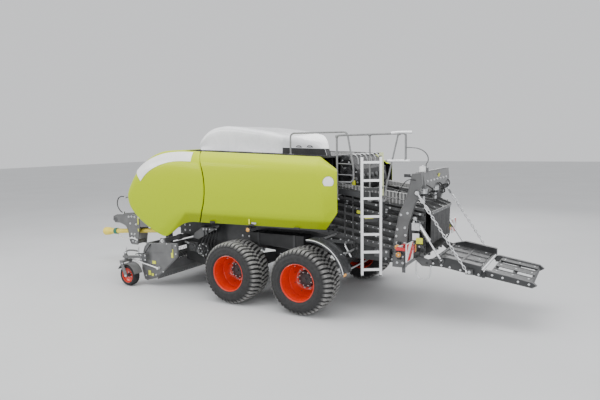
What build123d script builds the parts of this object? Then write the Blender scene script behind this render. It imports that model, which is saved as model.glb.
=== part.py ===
from build123d import *
import os
import math

os.makedirs("parts", exist_ok=True)

# Large tandem-axle square baler, standing on its wheels, gauge wheels and
# parking jack.  Millimetres.  +X to the front (the drawbar), +Y to the
# machine's left, +Z up, the floor at Z = 0.  Long dimensions are stations
# counted from the rear axle, which stands at rear_axle_x in the part's frame.

# ------------------------------------------------------------ driving sizes
rear_axle_x = -1358.0      # puts the origin under the middle of the machine
wheelbase = 1305.0         # between the two axles of the tandem
tyre_r = 515.0             # loaded radius of the 560/45 R22.5 tyres
tyre_w = 560.0
rim_r = 298.5
track_y = 1210.0           # middle of each tyre
hub_z = tyre_r
kingpin_y = 850.0

channel_slope = math.tan(math.radians(9.0))
channel_in_half = 600.0    # bale channel, 1.20 m wide inside
channel_in_h = 700.0       # and 0.70 m high
channel_z0 = 1217.0        # inside floor of the channel at the rear axle
rib_out = 700.0            # outer face of the ribs on the channel walls
channel_rear = -1720.0
channel_front = 2000.0

body_half = 1300.0         # outer side of the green panels
skin = 30.0
roof_front_x, roof_rear_x = 2420.0, -360.0
roof_z_front, roof_z_rear = 2530.0, 2415.0
door_hinge_y, door_hinge_z = 1075.0, 2480.0

gauge_x, gauge_y, gauge_r, gauge_w = 3730.0, 1330.0, 200.0, 150.0
caster_x = 3815.0

chute_hinge_x, chute_hinge_z = -1775.0, 850.0
chute_slope = 9.5
chute_fold_x, chute_fold_z = -2550.0, 715.0
chain_y = 815.0
chain_top = (-1650.0, 1883.0)
chain_low = (-2384.0, 776.0)

cyl_top = (-1600.0, 1500.0)      # chute fold cylinder, upper pin
cyl_low = (-1990.0, 905.0)       # and its rod's eye
cyl_y = 735.0

pto_x0, pto_z0 = 4170.0, 813.0     # rear end of the drive shaft guard
pto_x1, pto_z1 = 5952.0, 674.0     # front end

jack_x, jack_y = 4250.0, -290.0
eye_x = 5530.0                     # coupling eye


# ------------------------------------------------------------------ planes
def side_plane(y):
    """Profile plane at width y: local x is the station, local y the height."""
    return Plane(origin=(rear_axle_x, y, 0), x_dir=(1, 0, 0), z_dir=(0, -1, 0))


def cross_plane(x):
    """Section plane at station x: local x is the width, local y the height."""
    return Plane(origin=(rear_axle_x + x, 0, 0), x_dir=(0, 1, 0), z_dir=(1, 0, 0))


def plan_plane(z):
    return Plane(origin=(rear_axle_x, 0, z))


def at(x, y, z):
    return (rear_axle_x + x, y, z)


def floor_z(x):
    """Inside floor of the bale channel at station x."""
    return channel_z0 + channel_slope * x


def roof_z(x):
    return roof_z_rear + (roof_z_front - roof_z_rear) * (x - roof_rear_x) / (roof_front_x - roof_rear_x)


def rod_plane(p, q):
    a, b = Vector(*at(*p)), Vector(*at(*q))
    return Plane(origin=a, z_dir=(b - a)), (b - a).length


def write(part, label):
    part.label = label
    export_step(part, "parts/" + label + ".step")


# ------------------------------------------------- main frame under channel
frame_y = 640.0
with BuildPart() as main_frame:
    for s in (1, -1):
        with BuildSketch(side_plane(s * frame_y)):
            with BuildLine():
                Polyline(
                    (-1300, floor_z(-1300) - 60), (-1300, 790), (-700, 800), (420, 800),
                    (520, 640), (790, 640), (890, 800), (1900, 860), (2930, 935), (3040, 935),
                    (3040, 1180), (2100, floor_z(2100) - 80), (2000, floor_z(2000) - 60), close=True)
            make_face()
        extrude(amount=10, both=True)
    # cross tubes tie the two webs
    for cx, cz in ((-1180, 850), (-350, 900), (1500, 950), (2860, 1060)):
        with BuildSketch(side_plane(0)):
            with Locations((cx, cz)):
                Circle(52)
                Circle(44, mode=Mode.SUBTRACT)
        extrude(amount=frame_y - 9, both=True)
write(main_frame.part, "main_frame")

# tandem rocker beams on their pivot tube
with BuildPart() as bogie_beams:
    with BuildSketch(side_plane(0)):
        with Locations((650, 700)):
            Circle(58)
    extrude(amount=frame_y - 10, both=True)
    for y in (500, -500):
        with BuildSketch(side_plane(y)):
            with BuildLine():
                Polyline((-110, 576), (wheelbase + 110, 576), (wheelbase + 110, 650),
                         (800, 775), (500, 775), (-110, 650), close=True)
            make_face()
        extrude(amount=50, both=True)
write(bogie_beams.part, "bogie_beams")

# front axle of the tandem: beam with fixed spindles
with BuildPart() as front_axle:
    with BuildSketch(side_plane(0)):
        with Locations((wheelbase, hub_z)):
            Rectangle(120, 120)
    extrude(amount=900, both=True)
    with BuildSketch(side_plane(0)):
        with Locations((wheelbase, hub_z)):
            Circle(50)
    extrude(amount=1150, both=True)
write(front_axle.part, "front_axle")

# rear axle: beam with a fork for each kingpin
with BuildPart() as rear_axle:
    with BuildSketch(side_plane(0)):
        with Locations((0, hub_z)):
            Rectangle(120, 120)
    extrude(amount=780, both=True)
    for s in (1, -1):
        with Locations(at(0, s * 805, hub_z)):
            Box(110, 150, 270)
            Box(130, 112, 170, mode=Mode.SUBTRACT)
        with Locations(at(0, s * kingpin_y, hub_z)):
            Box(110, 76, 270)
            Box(140, 84, 170, mode=Mode.SUBTRACT)
            Cylinder(30.1, 300, mode=Mode.SUBTRACT)
        with Locations(at(0, s * 765, hub_z)):
            Box(110, 30, 180)
write(rear_axle.part, "rear_axle")

for side, s in (("left", 1), ("right", -1)):
    with BuildPart() as knuckle:
        with Locations(at(0, s * kingpin_y, hub_z)):
            Box(90, 70, 150)
            Cylinder(30, 290)
        with BuildSketch(Plane(origin=at(0, s * 860, hub_z), z_dir=(0, s, 0))):
            Circle(50)
        extrude(amount=290)
        # steering arm, pointing to the rear
        with Locations(at(-130, s * (kingpin_y - 18), hub_z - 45)):
            Box(190, 34, 30)
    write(knuckle.part, "knuckle_" + side)

with BuildPart() as tie_rod:
    with BuildSketch(side_plane(0)):
        with Locations((-205, hub_z - 86)):
            Circle(18)
    extrude(amount=kingpin_y - 10, both=True)
write(tie_rod.part, "tie_rod")

# ------------------------------------------------------------------- wheels
# columns: name, station, side
wheels = (("front_left", wheelbase, 1), ("front_right", wheelbase, -1),
          ("rear_left", 0.0, 1), ("rear_right", 0.0, -1))
for wname, wx, s in wheels:
    # profile plane: local x is the radius, local y the distance outwards
    prof = Plane(origin=at(wx, s * track_y, hub_z), x_dir=(1, 0, 0), z_dir=(0, 0, -1) if s > 0 else (0, 0, 1))
    axle_line = Axis(at(wx, s * track_y, hub_z), (0, 1, 0))
    with BuildPart() as tyre:
        with BuildSketch(prof):
            with BuildLine():
                Line((287, -235), (330, -262))
                ThreePointArc((330, -262), (405, -280), (478, -250))
                Line((478, -250), (507, -205))
                ThreePointArc((507, -205), (tyre_r, 0), (507, 205))
                Line((507, 205), (478, 250))
                ThreePointArc((478, 250), (405, 280), (330, 262))
                Line((330, 262), (287, 235))
                Line((287, 235), (287, 200))
                Line((287, 200), (330, 222))
                ThreePointArc((330, 222), (405, 240), (455, 215))
                Line((455, 215), (470, 0))
                Line((470, 0), (455, -215))
                ThreePointArc((455, -215), (405, -240), (330, -222))
                Line((330, -222), (287, -200))
                Line((287, -200), (287, -235))
            make_face()
        revolve(axis=axle_line)
    write(tyre.part, "tyre_" + wname)

    with BuildPart() as rim:
        with BuildSketch(prof):
            with BuildLine():
                Polyline((286.7, -199), (286.7, -238), (rim_r, -247), (rim_r, -253),
                         (278, -250), (276, -190), (262, -120), (262, 0), (262, 120),
                         (276, 190), (278, 250), (rim_r, 253), (rim_r, 247), (286.7, 238),
                         (286.7, 199), (270, 125), (270, 0), (270, -125), close=True)
            make_face()
        revolve(axis=axle_line)
        # dished disc welded inside the well
        with BuildSketch(prof):
            with BuildLine():
                Polyline((60, -101), (194, -101), (248, -30), (265, 0), (265, 26),
                         (236, -22), (184, -87), (60, -87), close=True)
            make_face()
        revolve(axis=axle_line)
        # hub
        with BuildSketch(prof):
            with BuildLine():
                Polyline((50.3, -180), (140, -180), (140, -90), (135, -40), (95, -20),
                         (95, -12), (0, -12), (0, -45), (50.3, -45), close=True)
            make_face()
        revolve(axis=axle_line)
    write(rim.part, "rim_" + wname)

# --------------------------------------------------------------- drawbar
with BuildPart() as hose_post_part:
    with BuildLine() as hose_line:
        FilletPolyline(at(4960, 0, 1050), at(4985, 0, 1380), at(5075, 0, 1485), at(5236, 0, 1490), radius=60)
    with BuildSketch(Plane(origin=hose_line.line @ 0, z_dir=hose_line.line % 0)):
        Circle(13)
    sweep()
    with Locations(at(5228, 0, 1491)):
        Box(26, 60, 46)
hose_post = hose_post_part.part
# columns: station, middle of the leg y, middle z, width, height
pto_line, pto_len = rod_plane((pto_x0, 0, pto_z0), (pto_x1, 0, pto_z1))
leg_ends = ((3052, 265, 1085, 90, 180), (4860, 75, 968, 70, 220))
with BuildPart() as drawbar:
    # two converging legs, box sections
    for s in (1, -1):
        for grow, how in ((0, Mode.ADD), (-16, Mode.SUBTRACT)):
            for lx, ly, lz, lw, lh in leg_ends:
                with BuildSketch(cross_plane(lx)):
                    with Locations((s * ly, lz)):
                        Rectangle(lw + grow, lh + grow)
            loft(ruled=True, mode=how)
    # plate that bolts the legs to the frame
    with Locations(at(3046, 0, 1085)):
        Box(12, 1240, 180)
    with Locations(at(4500, 0, 985)):
        Box(30, 230, 180)
    # head: two cheek plates with the coupling hole at the front
    for y in (125, -125):
        with BuildSketch(side_plane(y)):
            with BuildLine():
                Line((5500, 1068), (5385, 1112))
                Line((5385, 1112), (4900, 1152))
                Line((4900, 1152), (4700, 1095))
                Line((4700, 1095), (4700, 860))
                Line((4700, 860), (4780, 470))
                Line((4780, 470), (4960, 470))
                Line((4960, 470), (5020, 560))
                Line((5020, 560), (5050, 745))
                ThreePointArc((5050, 745), (5150, 880), (5310, 925))
                Line((5310, 925), (5450, 925))
                Line((5450, 925), (5515, 985))
                Line((5515, 985), (5500, 1068))
            make_face()
            with Locations((5440, 1000)):
                Circle(32, mode=Mode.SUBTRACT)
        extrude(amount=10, both=True)
    with Locations(at(5000, 0, 1000)):
        Box(200, 232, 120)
    with Locations(at(4790, 0, 985)):
        Box(120, 232, 120)
    with Locations(at(4870, 0, 520)):
        Box(120, 232, 70)
    # bearing hung under the legs at the rear end of the drive shaft
    with Locations(at(4060, 0, 835)):
        Box(60, 250, 160)
    with BuildSketch(pto_line.offset(-160)):
        Circle(45)
    extrude(amount=100, mode=Mode.SUBTRACT)
    with Locations(at(4060, 150, 900)):
        Box(60, 60, 70)
    with Locations(at(4060, -150, 900)):
        Box(60, 60, 70)
    with Locations(at(5170, 125, 1154)):
        Box(40, 26, 58)
    add(hose_post)
write(drawbar.part, "drawbar")

# coupling eye between the cheeks
with BuildPart() as tow_eye:
    with Locations(at(5355, 0, 1000)):
        Box(240, 100, 60)
    with Locations(at(eye_x, 0, 1000)):
        Cylinder(62, 60)
    with BuildSketch(side_plane(0)):
        with Locations((5440, 1000)):
            Circle(31.7)
    extrude(amount=150, both=True)
    with Locations(at(eye_x, 0, 1000)):
        Cylinder(25.2, 80, mode=Mode.SUBTRACT)
write(tow_eye.part, "tow_eye")

# drive shaft under its guard
pto_a, pto_len = rod_plane((pto_x0, 0, pto_z0), (pto_x1, 0, pto_z1))
with BuildPart() as pto_guard:
    with BuildSketch(pto_a):
        Circle(48)
        Circle(44, mode=Mode.SUBTRACT)
    extrude(amount=pto_len - 160)
    with BuildSketch(pto_a.offset(pto_len - 480)):
        Circle(62)
        Circle(44, mode=Mode.SUBTRACT)
    extrude(amount=70)
    with BuildSketch(pto_a.offset(pto_len - 300)):
        Circle(52)
        Circle(44, mode=Mode.SUBTRACT)
    with BuildSketch(pto_a.offset(pto_len - 140)):
        Circle(92)
        Circle(84, mode=Mode.SUBTRACT)
    loft(ruled=True)
    with BuildSketch(pto_a.offset(pto_len - 140)):
        Circle(92)
        Circle(84, mode=Mode.SUBTRACT)
    extrude(amount=120)
    # rear drive line rising to the flywheel
    line_a, line_len = rod_plane((3985, 0, 890), (3228, 0, 1500))
    with BuildSketch(line_a):
        Circle(55)
        Circle(50, mode=Mode.SUBTRACT)
    extrude(amount=line_len)
write(pto_guard.part, "pto_guard")

with BuildPart() as pto_shaft:
    with BuildSketch(pto_a.offset(-135)):
        Circle(32)
    extrude(amount=pto_len + 15)
    with BuildSketch(pto_a.offset(pto_len - 125)):
        Circle(62)
    extrude(amount=125)
    with BuildSketch(pto_a.offset(-75)):
        Circle(56)
    extrude(amount=70)
write(pto_shaft.part, "pto_shaft")

# ----------------------------------------------------------- parking jack
with BuildPart() as jack_tube:
    with Locations(at(jack_x, jack_y, 790)):
        Box(110, 110, 640)
        Box(90, 90, 700, mode=Mode.SUBTRACT)
    with Locations(at(jack_x, jack_y, 1115)):
        Box(110, 110, 12)
    with Locations(at(jack_x, jack_y + 77, 960)):
        Box(130, 44, 160)
write(jack_tube.part, "jack_tube")

with BuildPart() as jack_leg:
    with Locations(at(jack_x, jack_y, 381)):
        Box(80, 80, 730)
    with Locations(at(jack_x, jack_y, 8)):
        Box(240, 240, 16)
write(jack_leg.part, "jack_leg")

# ------------------------------------------------------------ bale channel
def slab(x0, x1, z_off, thick, half):
    """Slab that follows the slope of the channel between two stations."""
    with BuildPart() as b:
        with BuildSketch(side_plane(0)):
            with BuildLine():
                Polyline((x0, floor_z(x0) + z_off), (x1, floor_z(x1) + z_off),
                         (x1, floor_z(x1) + z_off + thick), (x0, floor_z(x0) + z_off + thick), close=True)
            make_face()
        extrude(amount=half, both=True)
    return b.part


channel_floor_sheet = slab(channel_rear, channel_front, -14, 14, rib_out)
channel_roof_sheet = slab(-900, channel_front, channel_in_h, 14, rib_out)
with BuildPart() as channel_floor:
    add(channel_floor_sheet)
    # long stiffeners under the sheet
    for y in (-675, -340, 0, 340, 675):
        with BuildSketch(side_plane(y)):
            with BuildLine():
                Polyline((channel_rear, floor_z(channel_rear) - 10), (channel_front, floor_z(channel_front) - 10),
                         (channel_front, floor_z(channel_front) - 58), (channel_rear, floor_z(channel_rear) - 58), close=True)
            make_face()
        extrude(amount=12, both=True)
    # ears that carry the chute hinge
    for s in (1, -1):
        with BuildSketch(side_plane(s * 707)):
            with BuildLine():
                Polyline((-1600, 940), (-1600, 885), (-1700, 800), (-1845, 800), (-1845, 890), (-1722, 925), close=True)
            make_face()
            with Locations((chute_hinge_x, chute_hinge_z)):
                Circle(20.3, mode=Mode.SUBTRACT)
        extrude(amount=9, both=True)
write(channel_floor.part, "channel_floor")

# wall with long ribs; columns: low edge, high edge above the channel floor
ribs = ((0, 44), (110, 150), (232, 272), (352, 392), (470, 510), (588, 628), (660, 700))
with BuildPart() as channel_walls:
    for s in (1, -1):
        with BuildSketch(cross_plane(channel_rear)):
            with Locations((s * (channel_in_half + 6), floor_z(channel_rear) + channel_in_h / 2)):
                Rectangle(12, channel_in_h)
            for lo, hi in ribs:
                with Locations((s * (channel_in_half + rib_out) / 2, floor_z(channel_rear) + (lo + hi) / 2)):
                    Rectangle(rib_out - channel_in_half, hi - lo)
                with Locations((s * ((channel_in_half + rib_out) / 2 + 3), floor_z(channel_rear) + (lo + hi) / 2)):
                    Rectangle(rib_out - channel_in_half - 18, hi - lo - 12, mode=Mode.SUBTRACT)
        extrude(amount=channel_front - channel_rear, dir=(1, 0, channel_slope))
write(channel_walls.part, "channel_walls")

with BuildPart() as channel_roof:
    add(channel_roof_sheet)
    for y in (-688, -340, 0, 340, 688):
        with BuildSketch(side_plane(y)):
            with BuildLine():
                Polyline((-900, floor_z(-900) + channel_in_h + 10), (channel_front, floor_z(channel_front) + channel_in_h + 10),
                         (channel_front, floor_z(channel_front) + channel_in_h + 55), (-900, floor_z(-900) + channel_in_h + 55), close=True)
            make_face()
        extrude(amount=12, both=True)
    # tread decks on both sides of the tension flap
    for s in (1, -1):
        with BuildSketch(side_plane(s * 652)):
            with BuildLine():
                Polyline((-1480, floor_z(-1480) + channel_in_h + 30), (-890, floor_z(-890) + channel_in_h + 30),
                         (-890, floor_z(-890) + channel_in_h + 55), (-1480, floor_z(-1480) + channel_in_h + 55), close=True)
            make_face()
        extrude(amount=47.5, both=True)
        # bracket and pin of the flap's hinge
        with Locations(at(-915, s * 619, 1790)):
            Box(30, 25, 28)
        with BuildSketch(Plane(origin=at(-915, s * 560, 1785), z_dir=(0, s, 0))):
            Circle(8)
        extrude(amount=55)
write(channel_roof.part, "channel_roof")

# pressure flap in the roof near the mouth
flap_front, flap_rear = -915.0, -1800.0
flap_z0 = floor_z(flap_front) + channel_in_h
flap_z1 = 1575.0
with BuildPart() as top_flap:
    with BuildSketch(side_plane(0)):
        with BuildLine():
            Polyline((-925, flap_z0 - 2), (flap_rear, flap_z1), (flap_rear, flap_z1 + 16), (-925, flap_z0 + 14), close=True)
        make_face()
    extrude(amount=590, both=True)
    for y in (-560, -330, 0, 330, 560):
        with BuildSketch(side_plane(y)):
            with BuildLine():
                Polyline((-926, flap_z0 + 8), (flap_rear, flap_z1 + 10), (flap_rear, flap_z1 + 40),
                         (-1620, flap_z1 + 115), (-1450, flap_z1 + 115), (-926, flap_z0 + 42), close=True)
            make_face()
        extrude(amount=10, both=True)
    # hinge tube along the front edge
    with BuildSketch(side_plane(0)):
        with Locations((-915, 1785)):
            Circle(12)
            Circle(8.3, mode=Mode.SUBTRACT)
    extrude(amount=590, both=True)
    # seats of the cylinder rods
    for s in (1, -1):
        with Locations(at(-1560, s * 330, flap_z1 + 95)):
            Box(120, 120, 40)
write(top_flap.part, "top_flap")

# ---------------------------------------------------------- tension frame
with BuildPart() as tension_arms:
    for s in (1, -1):
        with BuildSketch(side_plane(s * 743)):
            with BuildLine():
                Polyline((-1270, 760), (-1280, 1080), (-1310, 1280), (-1370, 1560), (-1490, 1830),
                         (-1560, 2160), (-1700, 2175), (-1715, 2000), (-1600, 1700), (-1560, 1550),
                         (-1520, 1400), (-1500, 1190), (-1470, 760), close=True)
            make_face()
        extrude(amount=42, both=True)
    for s in (1, -1):
        with BuildSketch(Plane(origin=at(chain_top[0], s * 785, chain_top[1]), z_dir=(0, s, 0))):
            Circle(16)
        extrude(amount=52)
        # lug and pin of the chute's fold cylinder
        with Locations(at(-1580, s * 710, 1500)):
            Box(90, 18, 50)
        with BuildSketch(Plane(origin=at(cyl_top[0], s * 712, cyl_top[1]), z_dir=(0, s, 0))):
            Circle(12)
        extrude(amount=42)
write(tension_arms.part, "tension_arms")

with BuildPart() as tension_beam:
    with BuildSketch(side_plane(0)):
        with BuildLine():
            Polyline((-1505, 1935), (-1560, 2160), (-1700, 2175), (-1740, 1935), close=True)
        make_face()
    extrude(amount=700.5, both=True)
    with BuildSketch(side_plane(0)):
        with Locations((-1385, 790)):
            Rectangle(140, 60)
    extrude(amount=700.5, both=True)
    # box where the cable enters
    with Locations(at(-1680, 480, 2201)):
        Box(64, 60, 70)
write(tension_beam.part, "tension_beam")

# barrels hang under the beam; their rods stand on the flap
with BuildPart() as tension_cylinders:
    for s in (1, -1):
        with Locations(at(-1600, s * 330, 1865)):
            Cylinder(62, 139)
            Cylinder(40, 160, mode=Mode.SUBTRACT)
write(tension_cylinders.part, "tension_cylinders")

with BuildPart() as tension_rods:
    for s in (1, -1):
        with Locations(at(-1600, s * 330, 1795)):
            Cylinder(24, 208)
write(tension_rods.part, "tension_rods")

# ------------------------------------------------- knotter housing on top
knot_z = channel_in_h + 56
with BuildPart() as knotter_housing:
    with BuildSketch(side_plane(0)):
        with BuildLine():
            Polyline((-330, floor_z(-330) + knot_z), (-330, 2395), (-480, 2390), (-640, 2200), (-680, 1990),
                     (-600, floor_z(-600) + knot_z), close=True)
        make_face()
    extrude(amount=590, both=True)
    with BuildSketch(side_plane(0)):
        with BuildLine():
            Polyline((-350, floor_z(-350) + knot_z - 60), (-350, 2375), (-472, 2371), (-622, 2193), (-659, 2000),
                     (-586, floor_z(-586) + knot_z + 12), (-570, floor_z(-570) + knot_z - 60), close=True)
        make_face()
    extrude(amount=572, both=True, mode=Mode.SUBTRACT)
write(knotter_housing.part, "knotter_housing")

# ------------------------------------------------------- body roof + frame
door_hinges = (-150.0, 900.0, 1750.0)
door_slope = 0.0399
hood_axis = (2425.0, 2555.0)


def door_axis_z(x):
    return 2416.0 + door_slope * x


with BuildPart() as body_roof:
    with BuildSketch(side_plane(0)):
        with BuildLine():
            Polyline((roof_rear_x, roof_z_rear - 20), (roof_front_x - 20, roof_z_front - 21), (roof_front_x - 20, roof_z_front - 1),
                     (roof_rear_x, roof_z_rear), close=True)
        make_face()
    extrude(amount=1060, both=True)
    # posts down to the channel
    for px in (2000 - 60, 900, -200):
        for s in (1, -1):
            z0 = floor_z(px) + channel_in_h + 56
            z1 = roof_z(px) - 12
            with Locations(at(px, s * 660, (z0 + z1) / 2 + 5)):
                Box(60, 60, z1 - z0)
    # brackets and pins of the door hinges
    for hx in door_hinges:
        for s in (1, -1):
            for q in (-1, 1):
                bx = hx + q * 75
                with Locations(at(bx, s * 1064.5, door_axis_z(bx) - 2)):
                    Box(22, 23, 14)
            with BuildSketch(Plane(origin=at(hx - 75, s * door_hinge_y, door_axis_z(hx - 75)), z_dir=(1, 0, door_slope))):
                Circle(5)
            extrude(amount=150)
    # raised vent beside the tail of the cover, on the ladder's side
    with BuildSketch(side_plane(725)):
        with BuildLine():
            Polyline((480, 2440), (480, 2550), (-162, 2526), (-199, 2412), close=True)
        make_face()
    extrude(amount=80, both=True)
    # brackets and pins of the hood's hinge
    for s in (1, -1):
        with Locations(at(2400, s * 640, 2540)):
            Box(50, 24, 22)
        with Locations(at(2412, s * 640, 2556)):
            Box(42, 24, 20)
        with BuildSketch(Plane(origin=at(hood_axis[0], s * 560, hood_axis[1]), z_dir=(0, s, 0))):
            Circle(8)
        extrude(amount=70)
write(body_roof.part, "body_roof")

cover_plan = ((2400, 810), (660, 810), (560, 700), (440, 520), (330, 340), (240, 170), (190, 40))
cavity_plan = ((2400, 780), (690, 780), (590, 680), (475, 505), (368, 335), (285, 170), (240, 40))
cover_side = ((2340, 2532), (2370, 2640), (2360, 2740), (2250, 2860), (2070, 2925), (1760, 2945), (1460, 2915), (850, 2825),
              (774, 2790), (432, 2694), (334, 2640), (175, 2442.3))
cavity_side = ((2312, 2500), (2340, 2640), (2332, 2728), (2235, 2833), (2065, 2895), (1760, 2914), (1465, 2885), (855, 2795),
               (780, 2758), (447, 2662), (356, 2612), (215, 2400))
shells = []
for side, plan, half in ((cover_side, cover_plan, 810), (cavity_side, cavity_plan, 780)):
    with BuildPart() as shell:
        with BuildSketch(side_plane(0)):
            with BuildLine():
                Polyline(*side, close=True)
            make_face()
        extrude(amount=half, both=True)
        with BuildSketch(Plane(origin=at(0, 0, 2300))):
            with BuildLine():
                Polyline(*plan, *[(a, -b) for a, b in reversed(plan)], close=True)
            make_face()
        extrude(amount=800, mode=Mode.INTERSECT)
    shells.append(shell.part)
with BuildPart() as top_cover:
    add(shells[0])
    add(shells[1], mode=Mode.SUBTRACT)
write(top_cover.part, "top_cover")

# ------------------------------------------------------------- front hood
seam_end, seam_mid = 2085.0, 1872.0      # bowed joint between hood and side panels
# outline of the side: columns are station, height
hood_side = ((1800, 2497), (1960, 2505), (2420, 2545), (2890, 2545), (3110, 2490), (3380, 2350), (3640, 2070), (3790, 1765),
             (3770, 1580), (3680, 1390), (3290, 1150), (2880, 1000), (2780, 1015), (2640, 1110), (2430, 1240), (2220, 1290), (1800, 1292))
with BuildPart() as front_hood:
    with BuildSketch(side_plane(0)):
        with BuildLine():
            Polyline(*hood_side, close=True)
        make_face()
    extrude(amount=body_half, both=True)
    with BuildSketch(side_plane(0)):
        with BuildLine():
            Polyline((1700, 2462), (1900, 2470), (2420, 2515), (2885, 2515), (3095, 2463), (3358, 2328), (3613, 2056), (3760, 1760),
                     (3739, 1590), (3654, 1410), (3400, 900), (1700, 900), close=True)
        make_face()
    extrude(amount=body_half - skin, both=True, mode=Mode.SUBTRACT)
    # the top behind the hinge belongs to the fixed roof
    with Locations(at(2160, 0, 2560)):
        Box(530, 2 * door_hinge_y + 30, 260, mode=Mode.SUBTRACT)
    # hinge tube on its rear edge, and notches for the brackets
    with BuildSketch(side_plane(0)):
        with Locations(hood_axis):
            Circle(13)
    extrude(amount=620, both=True)
    with Locations(at(2435, 640, 2540), at(2435, -640, 2540)):
        Box(70, 40, 80, mode=Mode.SUBTRACT)
    with BuildSketch(side_plane(0)):
        with Locations(hood_axis):
            Circle(8.3)
    extrude(amount=640, both=True, mode=Mode.SUBTRACT)
    # bowed rear edge
    with BuildSketch(side_plane(0)):
        with BuildLine():
            ThreePointArc((seam_end + 5, 2560), (seam_mid + 5, 1900), (seam_end + 5, 1240))
            Polyline((seam_end + 5, 1240), (1500, 1240), (1500, 2560), (seam_end + 5, 2560))
        make_face()
    extrude(amount=1400, both=True, mode=Mode.SUBTRACT)
write(front_hood.part, "front_hood")

# -------------------------------------------------------- side panel doors
# columns: station, top height, bottom height, outer side y
panel_sections = ((2090, 2510.6, 1287.9, 1300), (-380, 2412, 1325, 1300), (-590, 2180, 1610, 1180))
for side, s in (("left", 1), ("right", -1)):
    with BuildPart() as panel:
        for k, (px, zt, zb, yo) in enumerate(panel_sections[:2]):
            with BuildSketch(cross_plane(px)):
                with BuildLine():
                    Line((s * (yo - 60), zb), (s * yo, zb + 210))
                    Line((s * yo, zb + 210), (s * (yo + 4), zt - 330))
                    Line((s * (yo + 4), zt - 330), (s * (yo - 50), zt - 90))
                    Line((s * (yo - 50), zt - 90), (s * (yo - 160), zt))
                    Line((s * (yo - 160), zt), (s * (yo - 215), zt + 4))
                    Line((s * (yo - 215), zt + 4), (s * (yo - 215), zt - 26))
                    Line((s * (yo - 215), zt - 26), (s * (yo - 168), zt - 32))
                    Line((s * (yo - 168), zt - 32), (s * (yo - 78), zt - 105))
                    Line((s * (yo - 78), zt - 105), (s * (yo - 26), zt - 334))
                    Line((s * (yo - 26), zt - 334), (s * (yo - 30), zb + 214))
                    Line((s * (yo - 30), zb + 214), (s * (yo - 90), zb + 4))
                    Line((s * (yo - 90), zb + 4), (s * (yo - 60), zb))
                make_face()
        loft(ruled=True)
        # rear end turned in towards the channel
        with BuildSketch(cross_plane(-380)):
            with BuildLine():
                Polyline((s * 1240, 1325), (s * 1300, 1535), (s * 1304, 2082), (s * 1250, 2322), (s * 1140, 2412),
                         (s * 1110, 2385), (s * 1222, 2307), (s * 1274, 2078), (s * 1270, 1539), (s * 1210, 1329), close=True)
            make_face()
        with BuildSketch(cross_plane(-590)):
            with BuildLine():
                Polyline((s * 1170, 1610), (s * 1190, 1700), (s * 1192, 2000), (s * 1180, 2110), (s * 1140, 2180),
                         (s * 1110, 2160), (s * 1150, 2095), (s * 1162, 1995), (s * 1160, 1705), (s * 1140, 1614), close=True)
            make_face()
        loft(ruled=True)
        # hinge tubes on the top edge
        for hx in door_hinges:
            with BuildSketch(Plane(origin=at(hx - 60, s * door_hinge_y, door_axis_z(hx - 60)), z_dir=(1, 0, door_slope))):
                Circle(9)
            extrude(amount=120)
            with Locations(at(hx, s * (door_hinge_y + 9), door_axis_z(hx))):
                Box(110, 10, 12)
            with BuildSketch(Plane(origin=at(hx - 65, s * door_hinge_y, door_axis_z(hx - 65)), z_dir=(1, 0, door_slope))):
                Circle(5.3)
            extrude(amount=130, mode=Mode.SUBTRACT)
        with BuildSketch(side_plane(0)):
            with BuildLine():
                ThreePointArc((seam_end - 5, 2560), (seam_mid - 5, 1900), (seam_end - 5, 1240))
                Polyline((seam_end - 5, 1240), (2300, 1240), (2300, 2560), (seam_end - 5, 2560))
            make_face()
        extrude(amount=1400, both=True, mode=Mode.SUBTRACT)
    write(panel.part, "panel_" + side)

# twine magazines behind the panels
with BuildPart() as twine_boxes:
    for s in (1, -1):
        with Locations(at(790, s * 950, 1880)):
            Box(1960, 360, 900)
        for row_z in (1665, 2095):
            with Locations(at(790, s * 962, row_z)):
                with GridLocations(485, 1, 4, 1):
                    Box(465, 360, 400, mode=Mode.SUBTRACT)
        for bx in (0, 790, 1580):
            with Locations(at(bx, s * 885, 1412)):
                Box(80, 370, 36)
write(twine_boxes.part, "twine_boxes")

# flywheel and main gearbox, the heavy mass under the hood
with BuildPart() as drive_block:
    with Locations(at(2560, 0, 1580)):
        Box(600, 640, 640)
    with BuildSketch(cross_plane(3060)):
        with Locations((0, 1560)):
            Circle(430)
    extrude(amount=110)
    with BuildSketch(cross_plane(2850)):
        with Locations((0, 1560)):
            Circle(110)
    extrude(amount=215)
    # feet on the frame webs
    for s in (1, -1):
        with Locations(at(2560, s * 470, 1320)):
            Box(300, 318, 60)
        with Locations(at(2560, s * 615, 1290)):
            Box(300, 28, 140)
write(drive_block.part, "drive_block")

# ---------------------------------------------------- feeder under the body
with BuildPart() as feeder_housing:
    with BuildSketch(side_plane(0)):
        with BuildLine():
            Polyline((2950, 825), (2950, 440), (2450, 350), (2100, 420), (1780, 640), (1640, floor_z(1640) - 70), (2080, floor_z(2080) - 70), (2300, 900), close=True)
        make_face()
    extrude(amount=600, both=True)
    with BuildSketch(side_plane(0)):
        with BuildLine():
            Polyline((2990, 808), (2990, 460), (2450, 365), (2107, 434), (1794, 648), (1640, floor_z(1640) - 40), (2120, floor_z(2120) - 30), (2306, 882), close=True)
        make_face()
    extrude(amount=585, both=True, mode=Mode.SUBTRACT)
write(feeder_housing.part, "feeder_housing")

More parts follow.
